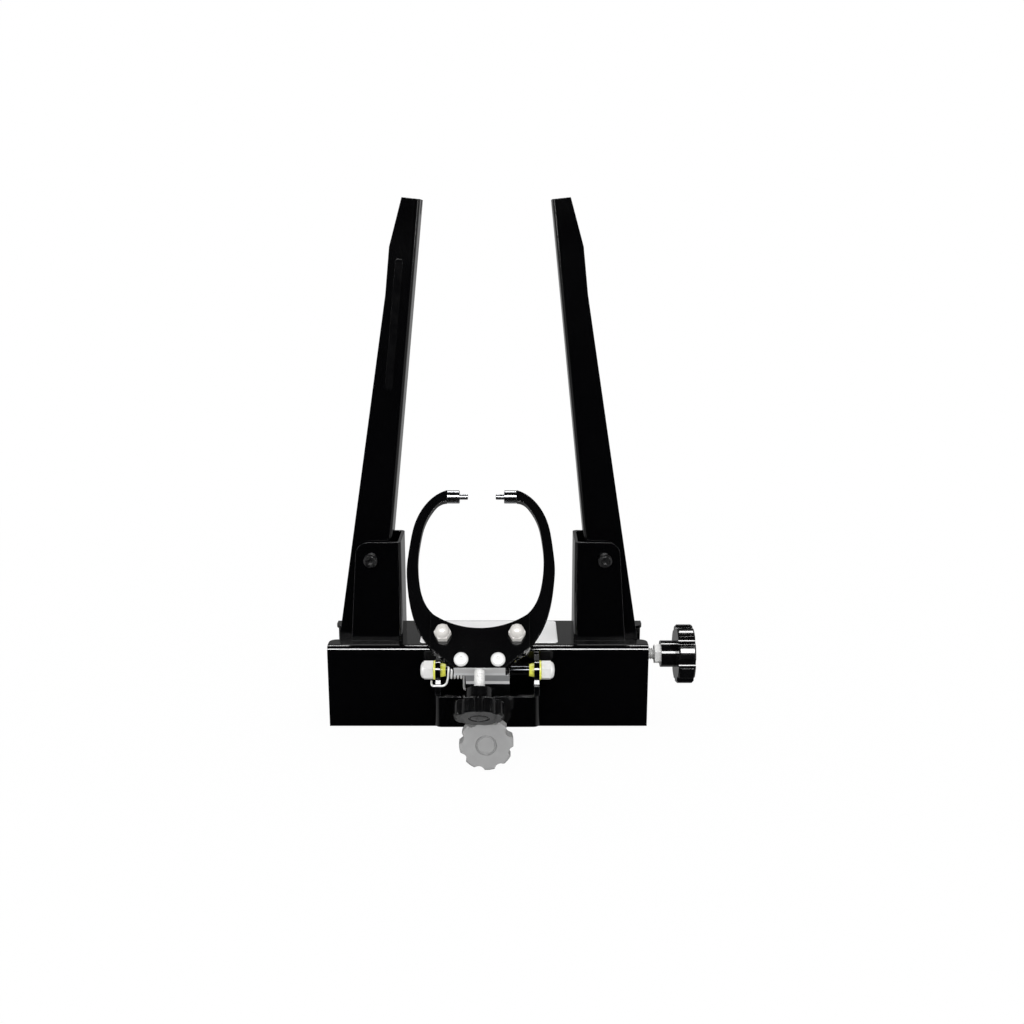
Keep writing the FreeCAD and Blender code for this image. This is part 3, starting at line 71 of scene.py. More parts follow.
# Heights above the base's foot, and faces of the knobs along their screws.
BASE_TOP = 81.0
SCREW_UP = 59.0
RADIAL_UP = 21.7
LEAD_FACE = 200.0
RADIAL_FACE = -131.0
FLOOR = -2.6

# Bare faces of the carriage: its underside, painted darker as shade behind its plate's back, and everything
# from 35.5 mm back down to the top of its leg, painted near-white as a highlight.
PLATE_BACK = 19.5
PAINTED_HIGHLIGHT_START = 35.5
LEG_TOP = 57.8
BARE_EDGE = 0.1

# Threads: where each starts, how long it is, and its radius, pitch and depth.
LEAD_THREAD_START = -134.0
LEAD_THREAD = {"length": 304.0, "radius": 5.5, "pitch": 2.0, "depth": 0.8}
LEAD_PLAIN_MIDDLE = (116.0, 152.0)
STUD_THREAD = {"length": 46.1, "radius": 4.8, "pitch": 1.5, "depth": 0.75}
STUD_PIN = (2.5, 5.0)
RADIAL_THREAD_START = -119.8
RADIAL_THREAD = {"length": 49.3, "radius": 3.0, "pitch": 1.0, "depth": 0.5, "chamfer": 0.5}
RADIAL_PIN = (1.5, 2.0)

# Caps in the knobs' dishes.
KNOB_DISH = 0.8
CAP_RADIUS = 9.1
CAP_GAP = 0.05

# White plate on the base, and dark strip on the left upright.
PLATE_MIDDLE = (0.6, 2.0, BASE_TOP)
PLATE_HALF = (66.1, 32.0)
PLATE_CORNER = 4.0
PLATE_THICKNESS = 0.4
STRIP_INWARD = 3.2
STRIP_UP = 221.5
STRIP_HALF = (3.4, 58.8)
STRIP_CORNER = 1.9
STRIP_THICKNESS = 0.3

# Dielectric skins: paint, oxide and vinyl. The vinyl mirrors less.
COAT = {"IOR": 1.5, "Specular IOR Level": 0.5}
VINYL_SKIN = {"IOR": 1.5, "Specular IOR Level": 0.2}
LABEL_SKIN = {"IOR": 1.46, "Specular IOR Level": 0.4}


def linear(hex_colour):
    """sRGB hex value as linear red, green and blue, with full alpha."""
    shares = [int(hex_colour[i:i + 2], 16) / 255 for i in (1, 3, 5)]
    return tuple(s / 12.92 if s <= 0.04045 else ((s + 0.055) / 1.055) ** 2.4 for s in shares) + (1.0,)


def add(tree, kind, values=None, links=None, **settings):
    """Adds one node: values go to its inputs, links join sockets to its inputs, settings are its own."""
    node = tree.nodes.new(kind)
    for name, value in settings.items():
        setattr(node, name, value)
    for name, value in (values or {}).items():
        node.inputs[name].default_value = value
    for name, socket in (links or {}).items():
        tree.links.new(socket, node.inputs[name])
    return node


def new_finish(name, **values):
    """An empty material with its shader, its object coordinates in metres, and the shader's plain values."""
    material = bpy.data.materials.new(name)
    material.use_nodes = True
    tree = material.node_tree
    tree.nodes.clear()
    shader = add(tree, "ShaderNodeBsdfPrincipled", values=values)
    add(tree, "ShaderNodeOutputMaterial", links={"Surface": shader.outputs["BSDF"]})
    place = add(tree, "ShaderNodeTexCoord").outputs["Object"]
    return material, tree, shader, place


def grain(tree, place, size_mm, detail=3.0, roughness=0.5):
    """Even noise from 0 to 1 with spots about size_mm across."""
    values = {"Scale": 1.0 / (size_mm * MM), "Detail": detail, "Roughness": roughness}
    return add(tree, "ShaderNodeTexNoise", values, {"Vector": place}).outputs["Fac"]


def spread(tree, value, low, high, start=0.3, end=0.7):
    """value from start to end becomes a number from low to high."""
    values = {"From Min": start, "From Max": end, "To Min": low, "To Max": high}
    return add(tree, "ShaderNodeMapRange", values, {"Value": value}).outputs["Result"]


# Places of the colour sockets on Blender's mix node.
MIX_SHARE = 0
MIX_FIRST = 6
MIX_SECOND = 7
MIX_RESULT = 2


def blend_colour(tree, share, first, second):
    """first where share is 0, second where it is 1; either is a colour or a socket."""
    mix = add(tree, "ShaderNodeMix", data_type="RGBA")
    tree.links.new(share, mix.inputs[MIX_SHARE])
    for socket, colour in ((MIX_FIRST, first), (MIX_SECOND, second)):
        if isinstance(colour, tuple):
            mix.inputs[socket].default_value = colour
        else:
            tree.links.new(colour, mix.inputs[socket])
    return mix.outputs[MIX_RESULT]


def rounded_edges(tree, radius_mm):
    """Normal that turns round sharp edges, and a share that is 1 on them and 0 on open faces."""
    soft = add(tree, "ShaderNodeBevel", {"Radius": radius_mm * MM}, samples=4).outputs["Normal"]
    plain = add(tree, "ShaderNodeNewGeometry").outputs["Normal"]
    along = add(tree, "ShaderNodeVectorMath", operation="DOT_PRODUCT")
    tree.links.new(soft, along.inputs[0])
    tree.links.new(plain, along.inputs[1])
    return soft, spread(tree, along.outputs["Value"], 1.0, 0.0, start=0.75, end=0.97)


def relief(tree, shader, height, depth_mm, normal=None, strength=1.0):
    """height from 0 to 1 stands depth_mm proud of the surface."""
    links = {"Height": height}
    if normal is not None:
        links["Normal"] = normal
    bump = add(tree, "ShaderNodeBump", {"Distance": depth_mm * MM, "Strength": strength}, links)
    tree.links.new(bump.outputs["Normal"], shader.inputs["Normal"])


def powder_coat(name, colour, edge, peel_mm):
    """Polyester powder coat baked on steel sheet, gloss black: it levels into a soft orange peel that
    breaks up reflections, thins on sharp edges so that they show greyer, and dulls where hands rub it."""
    material, tree, shader, place = new_finish(name, **COAT)
    normal, on_edge = rounded_edges(tree, 0.5)
    dull = grain(tree, place, 38.0, 4.0)
    dust = spread(tree, grain(tree, place, 0.7, 2.0), 0.0, 0.35, 0.55, 0.8)
    body = blend_colour(tree, dust, linear(colour), linear("#0d0d0e"))
    tree.links.new(blend_colour(tree, on_edge, body, linear(edge)), shader.inputs["Base Color"])
    tree.links.new(spread(tree, dull, 0.07, 0.12), shader.inputs["Roughness"])
    relief(tree, shader, grain(tree, place, peel_mm, 1.0), 0.003, normal)
    return material


def plated_steel(name, colour, blotch, low, high, blotch_mm, metallic=1.0):
    """Steel turned or cold formed and plated, with faint cloudy blotches of the chromate, a fine grain and
    brighter corners. Its roughness runs from low to high. A metallic share below 1 stands for satin zinc,
    whose crystals scatter part of the light like a matt surface."""
    material, tree, shader, place = new_finish(name, Metallic=metallic)
    normal, on_edge = rounded_edges(tree, 0.25)
    cloud = grain(tree, place, blotch_mm, 3.0)
    body = blend_colour(tree, spread(tree, cloud, 0.0, 1.0), linear(colour), linear(blotch))
    tree.links.new(blend_colour(tree, on_edge, body, linear("#f2f2f0")), shader.inputs["Base Color"])
    tree.links.new(spread(tree, grain(tree, place, 1.1, 4.0), low, high), shader.inputs["Roughness"])
    relief(tree, shader, grain(tree, place, 0.5, 2.0), 0.006, normal)
    return material


def drawn_rod_steel():
    """Cold drawn and ground steel rod along X: dark oiled steel, with fine lines round it from the grinder.
    The lines are drawn 0.4 mm apart, coarser than real, so that they still break up the reflection."""
    material, tree, shader, place = new_finish("ground_steel_rod", Metallic=1.0)
    stretch = {"Scale": (2500.0, 60.0, 60.0)}
    lines = add(tree, "ShaderNodeMapping", stretch, {"Vector": place}).outputs["Vector"]
    streak = add(tree, "ShaderNodeTexNoise", {"Scale": 1.0, "Detail": 3.0}, {"Vector": lines}).outputs["Fac"]
    body = blend_colour(tree, spread(tree, streak, 0.0, 1.0), linear("#3a3b3d"), linear("#2c2d2f"))
    tree.links.new(body, shader.inputs["Base Color"])
    tree.links.new(spread(tree, streak, 0.05, 0.1), shader.inputs["Roughness"])
    relief(tree, shader, streak, 0.003, rounded_edges(tree, 0.25)[0])
    return material


def black_oxide_steel():
    """Socket screws of black-oxided steel: deep black with an oily satin skin and bare grey corners."""
    material, tree, shader, place = new_finish("black_oxide_steel", **COAT)
    normal, on_edge = rounded_edges(tree, 0.3)
    oil = grain(tree, place, 2.2, 4.0)
    body = blend_colour(tree, spread(tree, oil, 0.0, 1.0), linear("#060607"), linear("#111112"))
    tree.links.new(blend_colour(tree, on_edge, body, linear("#3a3a3b")), shader.inputs["Base Color"])
    tree.links.new(spread(tree, oil, 0.22, 0.4), shader.inputs["Roughness"])
    relief(tree, shader, grain(tree, place, 0.4, 2.0), 0.006, normal)
    return material


def before(tree, place, way, point, soft_mm=0.15):
    """1 where place lies before the plane through point square to way, 0 beyond it."""
    along = add(tree, "ShaderNodeVectorMath", operation="DOT_PRODUCT")
    tree.links.new(place, along.inputs[0])
    along.inputs[1].default_value = tuple(way)
    edge = float(np.dot(point, way)) * MM
    return spread(tree, along.outputs["Value"], 1.0, 0.0, start=edge, end=edge + soft_mm * MM)


def both(tree, first, second, operation="MULTIPLY"):
    """One number out of two."""
    join = add(tree, "ShaderNodeMath", operation=operation)
    tree.links.new(first, join.inputs[0])
    tree.links.new(second, join.inputs[1])
    return join.outputs["Value"]


def machined_carriage():
    """Aluminium casting, coated black but for bare faces: the machined lower edge of its plate, the underside
    further back, painted darker as shade, and everything from 35.5 mm back down to the top of its leg,
    painted near-white as a highlight. The bare metal is satin, with a fine pitted skin, and the coat has an
    orange peel."""
    material, tree, shader, place = new_finish("coated_cast_aluminium", **COAT)
    normal, on_edge = rounded_edges(tree, 0.5)
    low_face = before(tree, place, UP_SLOPE, HEAD + BARE_EDGE * UP_SLOPE)
    # 1 from 35.5 mm back: there the bare metal is painted near-white as a highlight.
    behind = before(tree, place, OUT_OF_FACE, HEAD - PAINTED_HIGHLIGHT_START * OUT_OF_FACE)
    above_leg = before(tree, place, (0.0, 0.0, -1.0), (0.0, 0.0, LEG_TOP))
    bare = both(tree, both(tree, low_face, behind, "MAXIMUM"), above_leg)
    cloud = spread(tree, grain(tree, place, 9.0, 3.0), 0.0, 1.0)
    plate = blend_colour(tree, cloud, linear("#e8e9ea"), linear("#dddedf"))
    # Painted shade: the same bare metal, painted darker on the underside behind the plate's back.
    web_painted_shade = blend_colour(tree, cloud, linear("#9b9c9d"), linear("#939496"))
    # Painted highlight: the same bare metal, painted near-white from 35.5 mm back.
    painted_highlight = blend_colour(tree, cloud, linear("#f6f6f6"), linear("#eeeeee"))
    # 1 behind the plate's back, where the bare metal is painted darker as shade.
    in_painted_shade = before(tree, place, OUT_OF_FACE, HEAD - PLATE_BACK * OUT_OF_FACE)
    metal = blend_colour(tree, behind, blend_colour(tree, in_painted_shade, plate, web_painted_shade), painted_highlight)
    coat = blend_colour(tree, on_edge, linear("#0a0a0b"), linear("#2b2b2c"))
    tree.links.new(blend_colour(tree, bare, coat, metal), shader.inputs["Base Color"])
    tree.links.new(spread(tree, bare, 0.0, 0.1, 0.0, 1.0), shader.inputs["Metallic"])
    dull = spread(tree, grain(tree, place, 1.5, 3.0), 0.14, 0.24)
    duller = spread(tree, bare, 0.0, 0.2, 0.0, 1.0)
    tree.links.new(both(tree, dull, duller, "ADD"), shader.inputs["Roughness"])
    relief(tree, shader, grain(tree, place, 0.6, 3.0, 0.7), 0.016, normal)
    return material


def painted_yoke(coat, bare):
    """Yoke with a coated front and a machined lower edge: the lowest 0.1 mm up its slope is bare metal."""
    material, tree, shader, place = new_finish("powder_coat_over_bare_edge", **COAT)
    normal, on_edge = rounded_edges(tree, 0.4)
    is_bare = before(tree, place, UP_SLOPE, HEAD + BARE_EDGE * UP_SLOPE)
    coated = blend_colour(tree, on_edge, linear(coat), linear("#3a3a3b"))
    tree.links.new(blend_colour(tree, is_bare, coated, linear(bare)), shader.inputs["Base Color"])
    tree.links.new(spread(tree, is_bare, 0.0, 0.25, 0.0, 1.0), shader.inputs["Metallic"])
    dull = spread(tree, grain(tree, place, 30.0, 4.0), 0.07, 0.12)
    duller = spread(tree, is_bare, 0.0, 0.25, 0.0, 1.0)
    tree.links.new(both(tree, dull, duller, "ADD"), shader.inputs["Roughness"])
    relief(tree, shader, grain(tree, place, 1.2, 1.0), 0.006, normal)
    return material


def sintered_bronze():
    """Oil-filled sintered bronze bush: warm brown with fine open pores."""
    material, tree, shader, place = new_finish("sintered_bronze", Metallic=1.0)
    pore_mm = 0.6
    size = {"Scale": 1.0 / (pore_mm * MM)}
    pores = add(tree, "ShaderNodeTexVoronoi", size, {"Vector": place}).outputs["Distance"]
    cloud = spread(tree, grain(tree, place, 4.0), 0.0, 1.0)
    body = blend_colour(tree, cloud, linear("#b08a52"), linear("#8d6b3c"))
    tree.links.new(body, shader.inputs["Base Color"])
    tree.links.new(spread(tree, pores, 0.5, 0.32, 0.0, 0.5), shader.inputs["Roughness"])
    relief(tree, shader, pores, 0.02, rounded_edges(tree, 0.3)[0])
    return material


def moulded_plastic(name, colour, shade, low, high, skin_mm, skin_depth, specular, edge):
    """Injection-moulded plastic: an even colour with faint flow clouds, a fine skin copied from the
    mould, and rims that have been rubbed a little lighter."""
    material, tree, shader, place = new_finish(name, **{"IOR": 1.5, "Specular IOR Level": specular})
    normal, on_edge = rounded_edges(tree, 0.6)
    flow = grain(tree, place, 14.0, 2.0)
    body = blend_colour(tree, spread(tree, flow, 0.0, 1.0), linear(colour), linear(shade))
    tree.links.new(blend_colour(tree, on_edge, body, linear(edge)), shader.inputs["Base Color"])
    tree.links.new(spread(tree, grain(tree, place, 5.0, 4.0), low, high), shader.inputs["Roughness"])
    relief(tree, shader, grain(tree, place, skin_mm, 2.0), skin_depth, normal)
    return material


def label_film():
    """Bare label plate, white printed film under a satin laminate: faintly uneven white with tiny ripples."""
    material, tree, shader, place = new_finish("white_label_film", **LABEL_SKIN)
    cloud = grain(tree, place, 20.0, 3.0)
    body = blend_colour(tree, spread(tree, cloud, 0.0, 1.0), linear("#fdfdfd"), linear("#fafafa"))
    tree.links.new(body, shader.inputs["Base Color"])
    tree.links.new(spread(tree, grain(tree, place, 3.0, 3.0), 0.3, 0.42), shader.inputs["Roughness"])
    relief(tree, shader, grain(tree, place, 2.5, 1.0), 0.01)
    return material


def black_vinyl():
    """Blank strip of gloss black vinyl on the upright: smoother than the coat round it, so only its
    outline shows, with slight ripples from the hand that pressed it on."""
    material, tree, shader, place = new_finish("gloss_black_vinyl", **VINYL_SKIN)
    ripple = grain(tree, place, 7.0, 2.0)
    body = blend_colour(tree, spread(tree, ripple, 0.0, 1.0), linear("#050506"), linear("#0b0b0c"))
    tree.links.new(body, shader.inputs["Base Color"])
    tree.links.new(spread(tree, ripple, 0.07, 0.14), shader.inputs["Roughness"])
    relief(tree, shader, ripple, 0.01)
    return material


def spring_wire():
    """Hard-drawn spring wire, plated white: pale, with fine draw marks and faint clouds."""
    material, tree, shader, place = new_finish("plated_spring_wire", Metallic=0.1)
    marks = grain(tree, place, 0.35, 3.0)
    cloud = spread(tree, grain(tree, place, 3.0), 0.0, 1.0)
    body = blend_colour(tree, cloud, linear("#fafaf8"), linear("#eeeeee"))
    tree.links.new(body, shader.inputs["Base Color"])
    tree.links.new(spread(tree, marks, 0.16, 0.3), shader.inputs["Roughness"])
    relief(tree, shader, marks, 0.004)
    return material


COATED_SHEET = powder_coat("powder_coated_sheet", "#030304", "#58585a", 1.6)
COATED_ARM = powder_coat("powder_coated_arm", "#060607", "#2c2c2d", 1.2)
YOKE_FINISH = painted_yoke("#070708", "#d6d6d6")
ZINC = plated_steel("satin_zinc_plate", "#e6e6e4", "#dcdcdb", 0.42, 0.54, 3.5, 0.12)
ZINC_THREAD = plated_steel("zinc_plated_thread", "#bcbcba", "#a6a6a5", 0.4, 0.5, 2.0, 0.2)
NICKEL = plated_steel("satin_nickel_plate", "#d4d1cd", "#c8c5c1", 0.4, 0.48, 6.0, 0.05)
TURNED_STEEL = plated_steel("turned_steel", "#b9babb", "#a6a7a9", 0.16, 0.3, 2.5, 0.8)
DARK_PIN = plated_steel("hardened_pin_steel", "#77787a", "#5c5d5f", 0.12, 0.22, 2.0)
ROD_STEEL = drawn_rod_steel()
OXIDE = black_oxide_steel()
CARRIAGE_FINISH = machined_carriage()
BRONZE = sintered_bronze()
BLACK_ABS = moulded_plastic(
    "moulded_black_abs", "#060607", "#0b0b0c", 0.08, 0.16, skin_mm=0.9, skin_depth=0.004, specular=0.5,
    edge="#1c1c1d")
GREY_NYLON = moulded_plastic(
    "moulded_grey_nylon", "#999999", "#919191", 0.38, 0.5, skin_mm=0.8, skin_depth=0.012, specular=0.4,
    edge="#868686")
YELLOW_NYLON = moulded_plastic(
    "moulded_yellow_nylon", "#f6f662", "#efef52", 0.3, 0.42, skin_mm=0.7, skin_depth=0.008, specular=0.4,
    edge="#f8f89c")
LABEL = label_film()
VINYL = black_vinyl()
WIRE = spring_wire()

FINISHES = {
    COATED_SHEET: ["base_channel", "upright_left", "upright_right", "upright_bracket_left",
                   "upright_bracket_right", "caliper_bracket"],
    COATED_ARM: ["caliper_arm_left", "caliper_arm_right"],
    YOKE_FINISH: ["caliper_yoke"],
    CARRIAGE_FINISH: ["caliper_carriage"],
    ZINC: ["rod_nut_left", "rod_nut_right", "button_screws", "arm_pivot_left_bolt", "arm_pivot_right_bolt",
           "lead_jam_nut", "lead_screw", "radial_screw", "caliper_stud", "radial_insert"],
    NICKEL: ["arm_pivot_left_nut", "arm_pivot_right_nut"],
    TURNED_STEEL: ["pivot_spacers_left", "pivot_spacers_right",
                   "screw_collars", "trunnion_nut_left", "trunnion_nut_right", "screw_bearing_block",
                   "radial_tip", "caliper_wedge"],
    DARK_PIN: ["arm_left_barrel", "arm_right_barrel", "arm_left_pin", "arm_right_pin"],
    ROD_STEEL: ["caliper_rod"],
    OXIDE: ["pivot_bolt_left", "pivot_bolt_right", "pivot_nut_left", "pivot_nut_right"],
    BRONZE: ["screw_bearing_bush"],
    BLACK_ABS: ["lead_knob", "caliper_knob"],
    GREY_NYLON: ["radial_knob"],
    YELLOW_NYLON: ["rod_bushing_left", "rod_bushing_right"],
    WIRE: ["torsion_spring"],
}


def paint(piece, material):
    """Gives every face of a piece one finish, also where the frame came with its own."""
    if not piece.material_slots:
        piece.data.materials.append(material)
    for held in piece.material_slots:
        held.material = material


for material, names in FINISHES.items():
    for name in names:
        paint(nodes[name], material)


# New pieces. A shell is rows of points round an axis, each row a closed ring, closed by a fan at both ends.

def shell(name, rings, material, sharp_degrees=35.0):
    """Closed skin over rings[row, column] in millimetres: quads between rows, and a fan of triangles from
    the middle of the first and of the last row."""
    rows, columns = rings.shape[:2]
    ends = np.stack([rings[0].mean(axis=0), rings[-1].mean(axis=0)])
    points = np.concatenate([rings.reshape(-1, 3), ends]) * MM
    row, column = np.meshgrid(np.arange(rows - 1), np.arange(columns), indexing="ij")
    here = row * columns + column
    beside = row * columns + (column + 1) % columns
    quads = np.stack([here, beside, beside + columns, here + columns], axis=-1).reshape(-1, 4)
    start = np.arange(columns)
    after = (start + 1) % columns
    last = (rows - 1) * columns
    first_fan = np.stack([np.full(columns, rows * columns), after, start], axis=-1)
    last_fan = np.stack([np.full(columns, rows * columns + 1), last + start, last + after], axis=-1)
    mesh = bpy.data.meshes.new(name)
    mesh.from_pydata(points.tolist(), [], quads.tolist() + first_fan.tolist() + last_fan.tolist())
    mesh.validate()
    mesh.polygons.foreach_set("use_smooth", [True] * len(mesh.polygons))
    mesh.set_sharp_from_angle(angle=math.radians(sharp_degrees))
    piece = bpy.data.objects.new(name, mesh)
    bpy.context.scene.collection.objects.link(piece)
    paint(piece, material)
    return piece


def axes_round(axis):
    """Two directions square to axis, so that going from the first to the second turns outwards faces."""
    axis = np.asarray(axis, float)
    helper = np.array([0.0, 0.0, 1.0]) if abs(axis[2]) < 0.9 else np.array([1.0, 0.0, 0.0])
    side = np.cross(axis, helper)
    side /= np.linalg.norm(side)
    return side, np.cross(axis, side)


def rings_round(origin, axis, reach, height):
    """Point = origin + height along the axis + reach from it, at even angles round it."""
    side, other = axes_round(axis)
    angle = np.linspace(0.0, 2 * math.pi, reach.shape[1], endpoint=False)
    out = np.cos(angle)[:, None] * side + np.sin(angle)[:, None] * other
    return (np.asarray(origin, float) + height[..., None] * np.asarray(axis, float) + reach[..., None] * out)


def turned(name, origin, axis, profile, material, columns=64):
    """Profile of (height, radius) pairs turned round the axis."""
    profile = np.asarray(profile, float)
    reach = np.repeat(profile[:, 1:2], columns, axis=1)
    height = np.repeat(profile[:, 0:1], columns, axis=1)
    return shell(name, rings_round(origin, axis, reach, height), material)


def thread(name, origin, axis, material, length, radius, pitch, depth, plain=None, chamfer=0.8,
           mirrored=False, tip=None):
    """Screw thread: radius less depth times a ridge, where the ridge is 0 on the crest and 1 in the root
    and its phase is height over pitch less the turn. plain = (from, to) stays smooth; in a mirrored
    screw the turn runs the other way before the middle of plain. Both ends are chamfered. tip = (radius,
    length) is a smooth pin after the thread."""
    columns = 24
    rows_per_pitch = 8
    rows = int(length / pitch * rows_per_pitch) + 1
    height = np.repeat(np.linspace(0.0, length, rows)[:, None], columns, axis=1)
    turn = np.repeat(np.arange(columns)[None, :] / columns, rows, axis=0)
    hand = np.ones_like(height)
    cut = np.ones_like(height)
    if plain is not None:
        middle = (plain[0] + plain[1]) / 2
        hand = np.where(height < middle, -1.0, 1.0) if mirrored else hand
        half = (plain[1] - plain[0]) / 2
        cut = np.clip((np.abs(height - middle) - half) / pitch, 0.0, 1.0)
    phase = (height / pitch - hand * turn) % 1.0
    ridge = np.clip(3.0 * np.abs(2.0 * phase - 1.0) - 1.0, 0.0, 1.0)
    reach = radius - depth * cut * ridge
    from_end = np.minimum(height, length - height)
    reach = np.minimum(reach, radius - chamfer + from_end)
    if tip is not None:
        pin_radius, pin_length = tip
        reach = np.concatenate([reach, np.full((2, columns), pin_radius)])
        pin_ends = np.array([[length], [length + pin_length]])
        height = np.concatenate([height, np.repeat(pin_ends, columns, axis=1)])
    return shell(name, rings_round(origin, axis, reach, height), material, 50.0)


def rounded_plate(name, centre, wide, tall, half, corner, thickness, material):
    """Thin plate with rounded corners, half = (half its width, half its height): its outline is a rectangle
    shrunk by the corner's radius, pushed out by that radius round the corners, and its top edge is rounded
    over its whole thickness."""
    columns = 64
    half_wide, half_tall = half
    wide, tall = np.asarray(wide, float), np.asarray(tall, float)
    up = np.cross(wide, tall)
    angle = np.linspace(0.0, 2 * math.pi, columns, endpoint=False) + math.pi / columns
    round_x, round_y = np.cos(angle), np.sin(angle)
    square_x = np.sign(round_x) * (half_wide - corner)
    square_y = np.sign(round_y) * (half_tall - corner)
    bend = np.linspace(0.0, math.pi / 2, 4)
    inset = np.concatenate([[corner], [0.0], thickness * (1 - np.cos(bend)), [corner]])
    height = np.concatenate([[0.0], [0.0], thickness * np.sin(bend), [thickness]])
    reach = (corner - inset)[:, None]
    x = square_x[None, :] + reach * round_x[None, :]
    y = square_y[None, :] + reach * round_y[None, :]
    rings = (np.asarray(centre, float) + x[..., None] * wide + y[..., None] * tall
             + height[:, None, None] * up)
    return shell(name, rings, material, 60.0)


def knob_cap(name, origin, axis, radius, rise, material):
    """Snap-in cap in a knob's face: a flat button with a groove round it and a slightly raised middle."""
    profile = [
        (-0.4, radius), (0.0, radius), (0.45 * rise, radius - 0.05), (0.7 * rise, radius - 0.25),
        (0.7 * rise, radius - 0.7), (0.1 * rise, radius - 0.9), (0.1 * rise, radius - 1.3),
        (0.85 * rise, radius - 1.6), (rise, radius - 2.2), (rise, 0.4 * radius),
    ]
    return turned(name, origin, axis, profile, material)


lead_thread = thread("lead_screw_thread", (LEAD_THREAD_START, 0.0, SCREW_UP), (1, 0, 0), ZINC_THREAD,
                     plain=LEAD_PLAIN_MIDDLE, mirrored=True, **LEAD_THREAD)
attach(lead_thread, "lead_screw")
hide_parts("lead_screw")

stud_start = HEAD - (STUD_SHOWN + CALIPER_HUB) * UP_SLOPE + YOKE_MIDDLE * OUT_OF_FACE
stud_thread = thread("caliper_stud_thread", stud_start, UP_SLOPE, ZINC, tip=STUD_PIN, **STUD_THREAD)
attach(stud_thread, "caliper_knob")
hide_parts("caliper_stud")

radial_thread = thread("radial_screw_thread", (0.0, RADIAL_THREAD_START, RADIAL_UP), (0, 1, 0), ZINC,
                       tip=RADIAL_PIN, **RADIAL_THREAD)
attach(radial_thread, "radial_knob")
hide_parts("radial_screw")

KNOB_FACES = {
    "lead_screw": ((LEAD_FACE, 0.0, SCREW_UP), (1.0, 0.0, 0.0), BLACK_ABS),
    "caliper_knob": (HEAD - CALIPER_KNOB_END * UP_SLOPE + YOKE_MIDDLE * OUT_OF_FACE, -UP_SLOPE, BLACK_ABS),
    "radial_knob": ((0.0, RADIAL_FACE, RADIAL_UP), (0.0, -1.0, 0.0), GREY_NYLON),
}
for body, (face, way, material) in KNOB_FACES.items():
    floor_of_dish = np.asarray(face) - KNOB_DISH * np.asarray(way)
    cap = knob_cap(f"{body}_cap", floor_of_dish, way, CAP_RADIUS, KNOB_DISH - CAP_GAP, material)
    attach(cap, body)

label_plate = rounded_plate("label_plate", PLATE_MIDDLE, (1, 0, 0), (0, 1, 0), PLATE_HALF, PLATE_CORNER,
                            PLATE_THICKNESS, LABEL)
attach(label_plate, "base")

strip_place = PIVOT - STRIP_INWARD * UPRIGHT_ACROSS + STRIP_UP * UPRIGHT_UP
strip_place[1] = UPRIGHT_FRONT
blank_strip = rounded_plate("blank_strip", strip_place, -UPRIGHT_ACROSS, UPRIGHT_UP, STRIP_HALF, STRIP_CORNER,
                            STRIP_THICKNESS, VINYL)
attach(blank_strip, "upright_left")

# Camera at the photograph's viewing angle: 13.53 degrees down, square to the front of the base.
CAMERA_PLACE = (0.0228, -1.08729, 0.46401)
CAMERA_DIP = math.radians(13.53)
FOCAL_PIXELS = 1170.0
IMAGE_PIXELS = 1024.0
SENSOR = 36.0

lens = bpy.data.cameras.new("camera")
lens.sensor_width = SENSOR
lens.lens = FOCAL_PIXELS / IMAGE_PIXELS * SENSOR
lens.clip_start = 0.05
camera = bpy.data.objects.new("camera", lens)
camera.location = CAMERA_PLACE
camera.rotation_euler = (math.pi / 2 - CAMERA_DIP, 0.0, 0.0)
bpy.context.scene.collection.objects.link(camera)
bpy.context.scene.camera = camera


def make_world():
    """White where the camera looks and an even light for what is lit. Reflections see a dark room, with a
    pale wall behind the object, brighter walls beside it, and nothing above or in front."""
    world = bpy.data.worlds.new("studio")
    world.use_nodes = True
    tree = world.node_tree
    tree.nodes.clear()
    way = add(tree, "ShaderNodeTexCoord").outputs["Generated"]
    parts = add(tree, "ShaderNodeSeparateXYZ", links={"Vector": way}).outputs
    aside = add(tree, "ShaderNodeMath", links={0: parts["X"]}, operation="ABSOLUTE").outputs["Value"]
    below = spread(tree, parts["Z"], 1.0, 0.0, 0.35, 0.5)
    back_wall = both(tree, below, spread(tree, parts["Y"], 0.0, BACK_WALL, 0.0, 0.3))
    side_wall = both(tree, below, spread(tree, aside, 0.0, SIDE_WALL, 0.6, 0.9))
    walls = both(tree, back_wall, side_wall, "MAXIMUM")
    path = add(tree, "ShaderNodeLightPath").outputs
    mirrored = both(tree, walls, path["Is Glossy Ray"])
    even = spread(tree, path["Is Diffuse Ray"], 0.0, EVEN_LIGHT, 0.0, 1.0)
    lit = both(tree, even, path["Is Camera Ray"], "MAXIMUM")
    strength = both(tree, mirrored, lit, "MAXIMUM")
    background = add(tree, "ShaderNodeBackground", {"Color": (1, 1, 1, 1)}, {"Strength": strength})
    add(tree, "ShaderNodeOutputWorld", links={"Surface": background.outputs["Background"]})
    bpy.context.scene.world = world


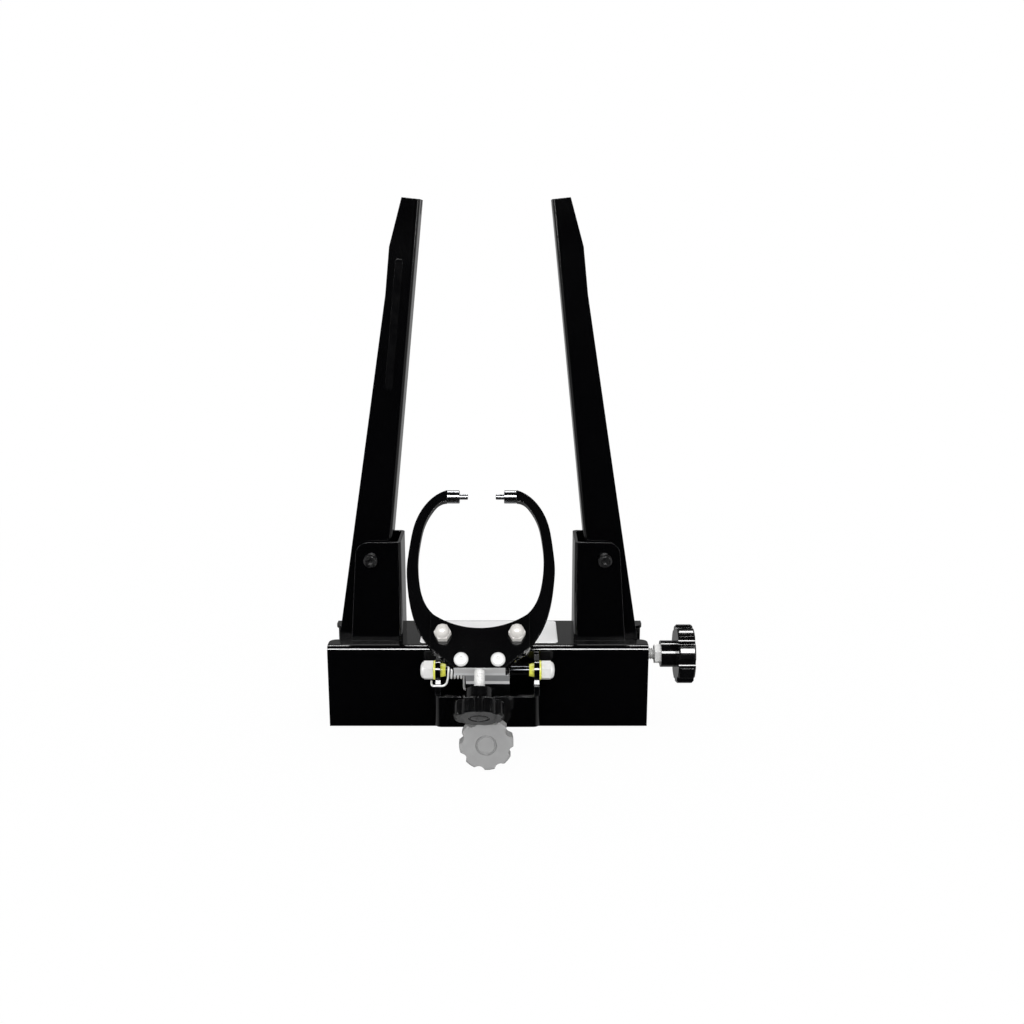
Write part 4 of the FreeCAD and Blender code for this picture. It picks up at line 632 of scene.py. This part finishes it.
def make_floor():
    """Pale floor: white where it is seen, less a faint share of the object's shadow that fades 1.2 m out.
    It isn't mirrored in the object."""
    material = bpy.data.materials.new("studio_floor")
    material.use_nodes = True
    tree = material.node_tree
    tree.nodes.clear()
    matt = add(tree, "ShaderNodeBsdfDiffuse", {"Color": linear("#ededed")})
    glow = add(tree, "ShaderNodeEmission", {"Color": (1, 1, 1, 1), "Strength": 1.0})
    place = add(tree, "ShaderNodeTexCoord").outputs["Object"]
    far = add(tree, "ShaderNodeVectorMath", operation="LENGTH")
    tree.links.new(place, far.inputs[0])
    white = spread(tree, far.outputs["Value"], 0.97, 1.0, 0.35, 1.2)
    path = add(tree, "ShaderNodeLightPath").outputs
    mix = add(tree, "ShaderNodeMixShader", links={"Fac": both(tree, white, path["Is Camera Ray"])})
    tree.links.new(matt.outputs["BSDF"], mix.inputs[1])
    tree.links.new(glow.outputs["Emission"], mix.inputs[2])
    add(tree, "ShaderNodeOutputMaterial", links={"Surface": mix.outputs["Shader"]})
    mesh = bpy.data.meshes.new("studio_floor")
    reach = 6.0
    corners = [(-reach, -reach, FLOOR * MM), (reach, -reach, FLOOR * MM),
               (reach, reach, FLOOR * MM), (-reach, reach, FLOOR * MM)]
    mesh.from_pydata(corners, [], [(0, 1, 2, 3)])
    floor = bpy.data.objects.new("studio_floor", mesh)
    bpy.context.scene.collection.objects.link(floor)
    paint(floor, material)
    floor.visible_glossy = False


def softbox(name, place, aim, width, height, radiance, lights=True, mirrored=True):
    """Rectangular lamp at place that faces aim. Its power is radiance times pi times its area. It can be
    kept out of what is lit, or out of what is mirrored."""
    lamp = bpy.data.lights.new(name, "AREA")
    lamp.shape = "RECTANGLE"
    lamp.size = width
    lamp.size_y = height
    lamp.energy = radiance * math.pi * width * height
    box = bpy.data.objects.new(name, lamp)
    box.location = place
    box.rotation_euler = (Vector(aim) - Vector(place)).to_track_quat("-Z", "Y").to_euler()
    box.visible_diffuse = lights
    box.visible_glossy = mirrored
    bpy.context.scene.collection.objects.link(box)


BACK_WALL = 0.28
SIDE_WALL = 0.45
EVEN_LIGHT = 1.05

# Lamps, in metres: strips that only show as reflections, and soft lights that aren't mirrored.
LAMPS = {
    "front_strip": {"place": (0.0, -2.1, 1.32), "aim": (0.0, 0.0, 0.12), "width": 1.8, "height": 0.66,
                    "radiance": 34.0, "lights": False},
    "high_strip": {"place": (0.0, 0.9, 2.0), "aim": (0.0, 0.0, 0.1), "width": 1.8, "height": 0.3,
                   "radiance": 26.0, "lights": False},
    "left_strip": {"place": (-1.6, -0.9, 0.7), "aim": (0.0, 0.0, 0.2), "width": 0.06, "height": 1.0,
                   "radiance": 30.0, "lights": False},
    "right_strip": {"place": (1.7, -0.8, 0.7), "aim": (0.0, 0.0, 0.2), "width": 0.06, "height": 1.0,
                    "radiance": 30.0, "lights": False},
    "key": {"place": (-0.5, -1.6, 1.9), "aim": (0.0, 0.0, 0.15), "width": 1.2, "height": 1.2,
            "radiance": 1.1, "mirrored": False},
    "low_fill": {"place": (0.0, -1.8, 0.32), "aim": (0.0, 0.0, 0.1), "width": 1.6, "height": 0.5,
                 "radiance": 3.0, "mirrored": False},
}

make_world()
make_floor()
for name, lamp in LAMPS.items():
    softbox(name, **lamp)
bpy.context.scene.view_settings.view_transform = "Standard"
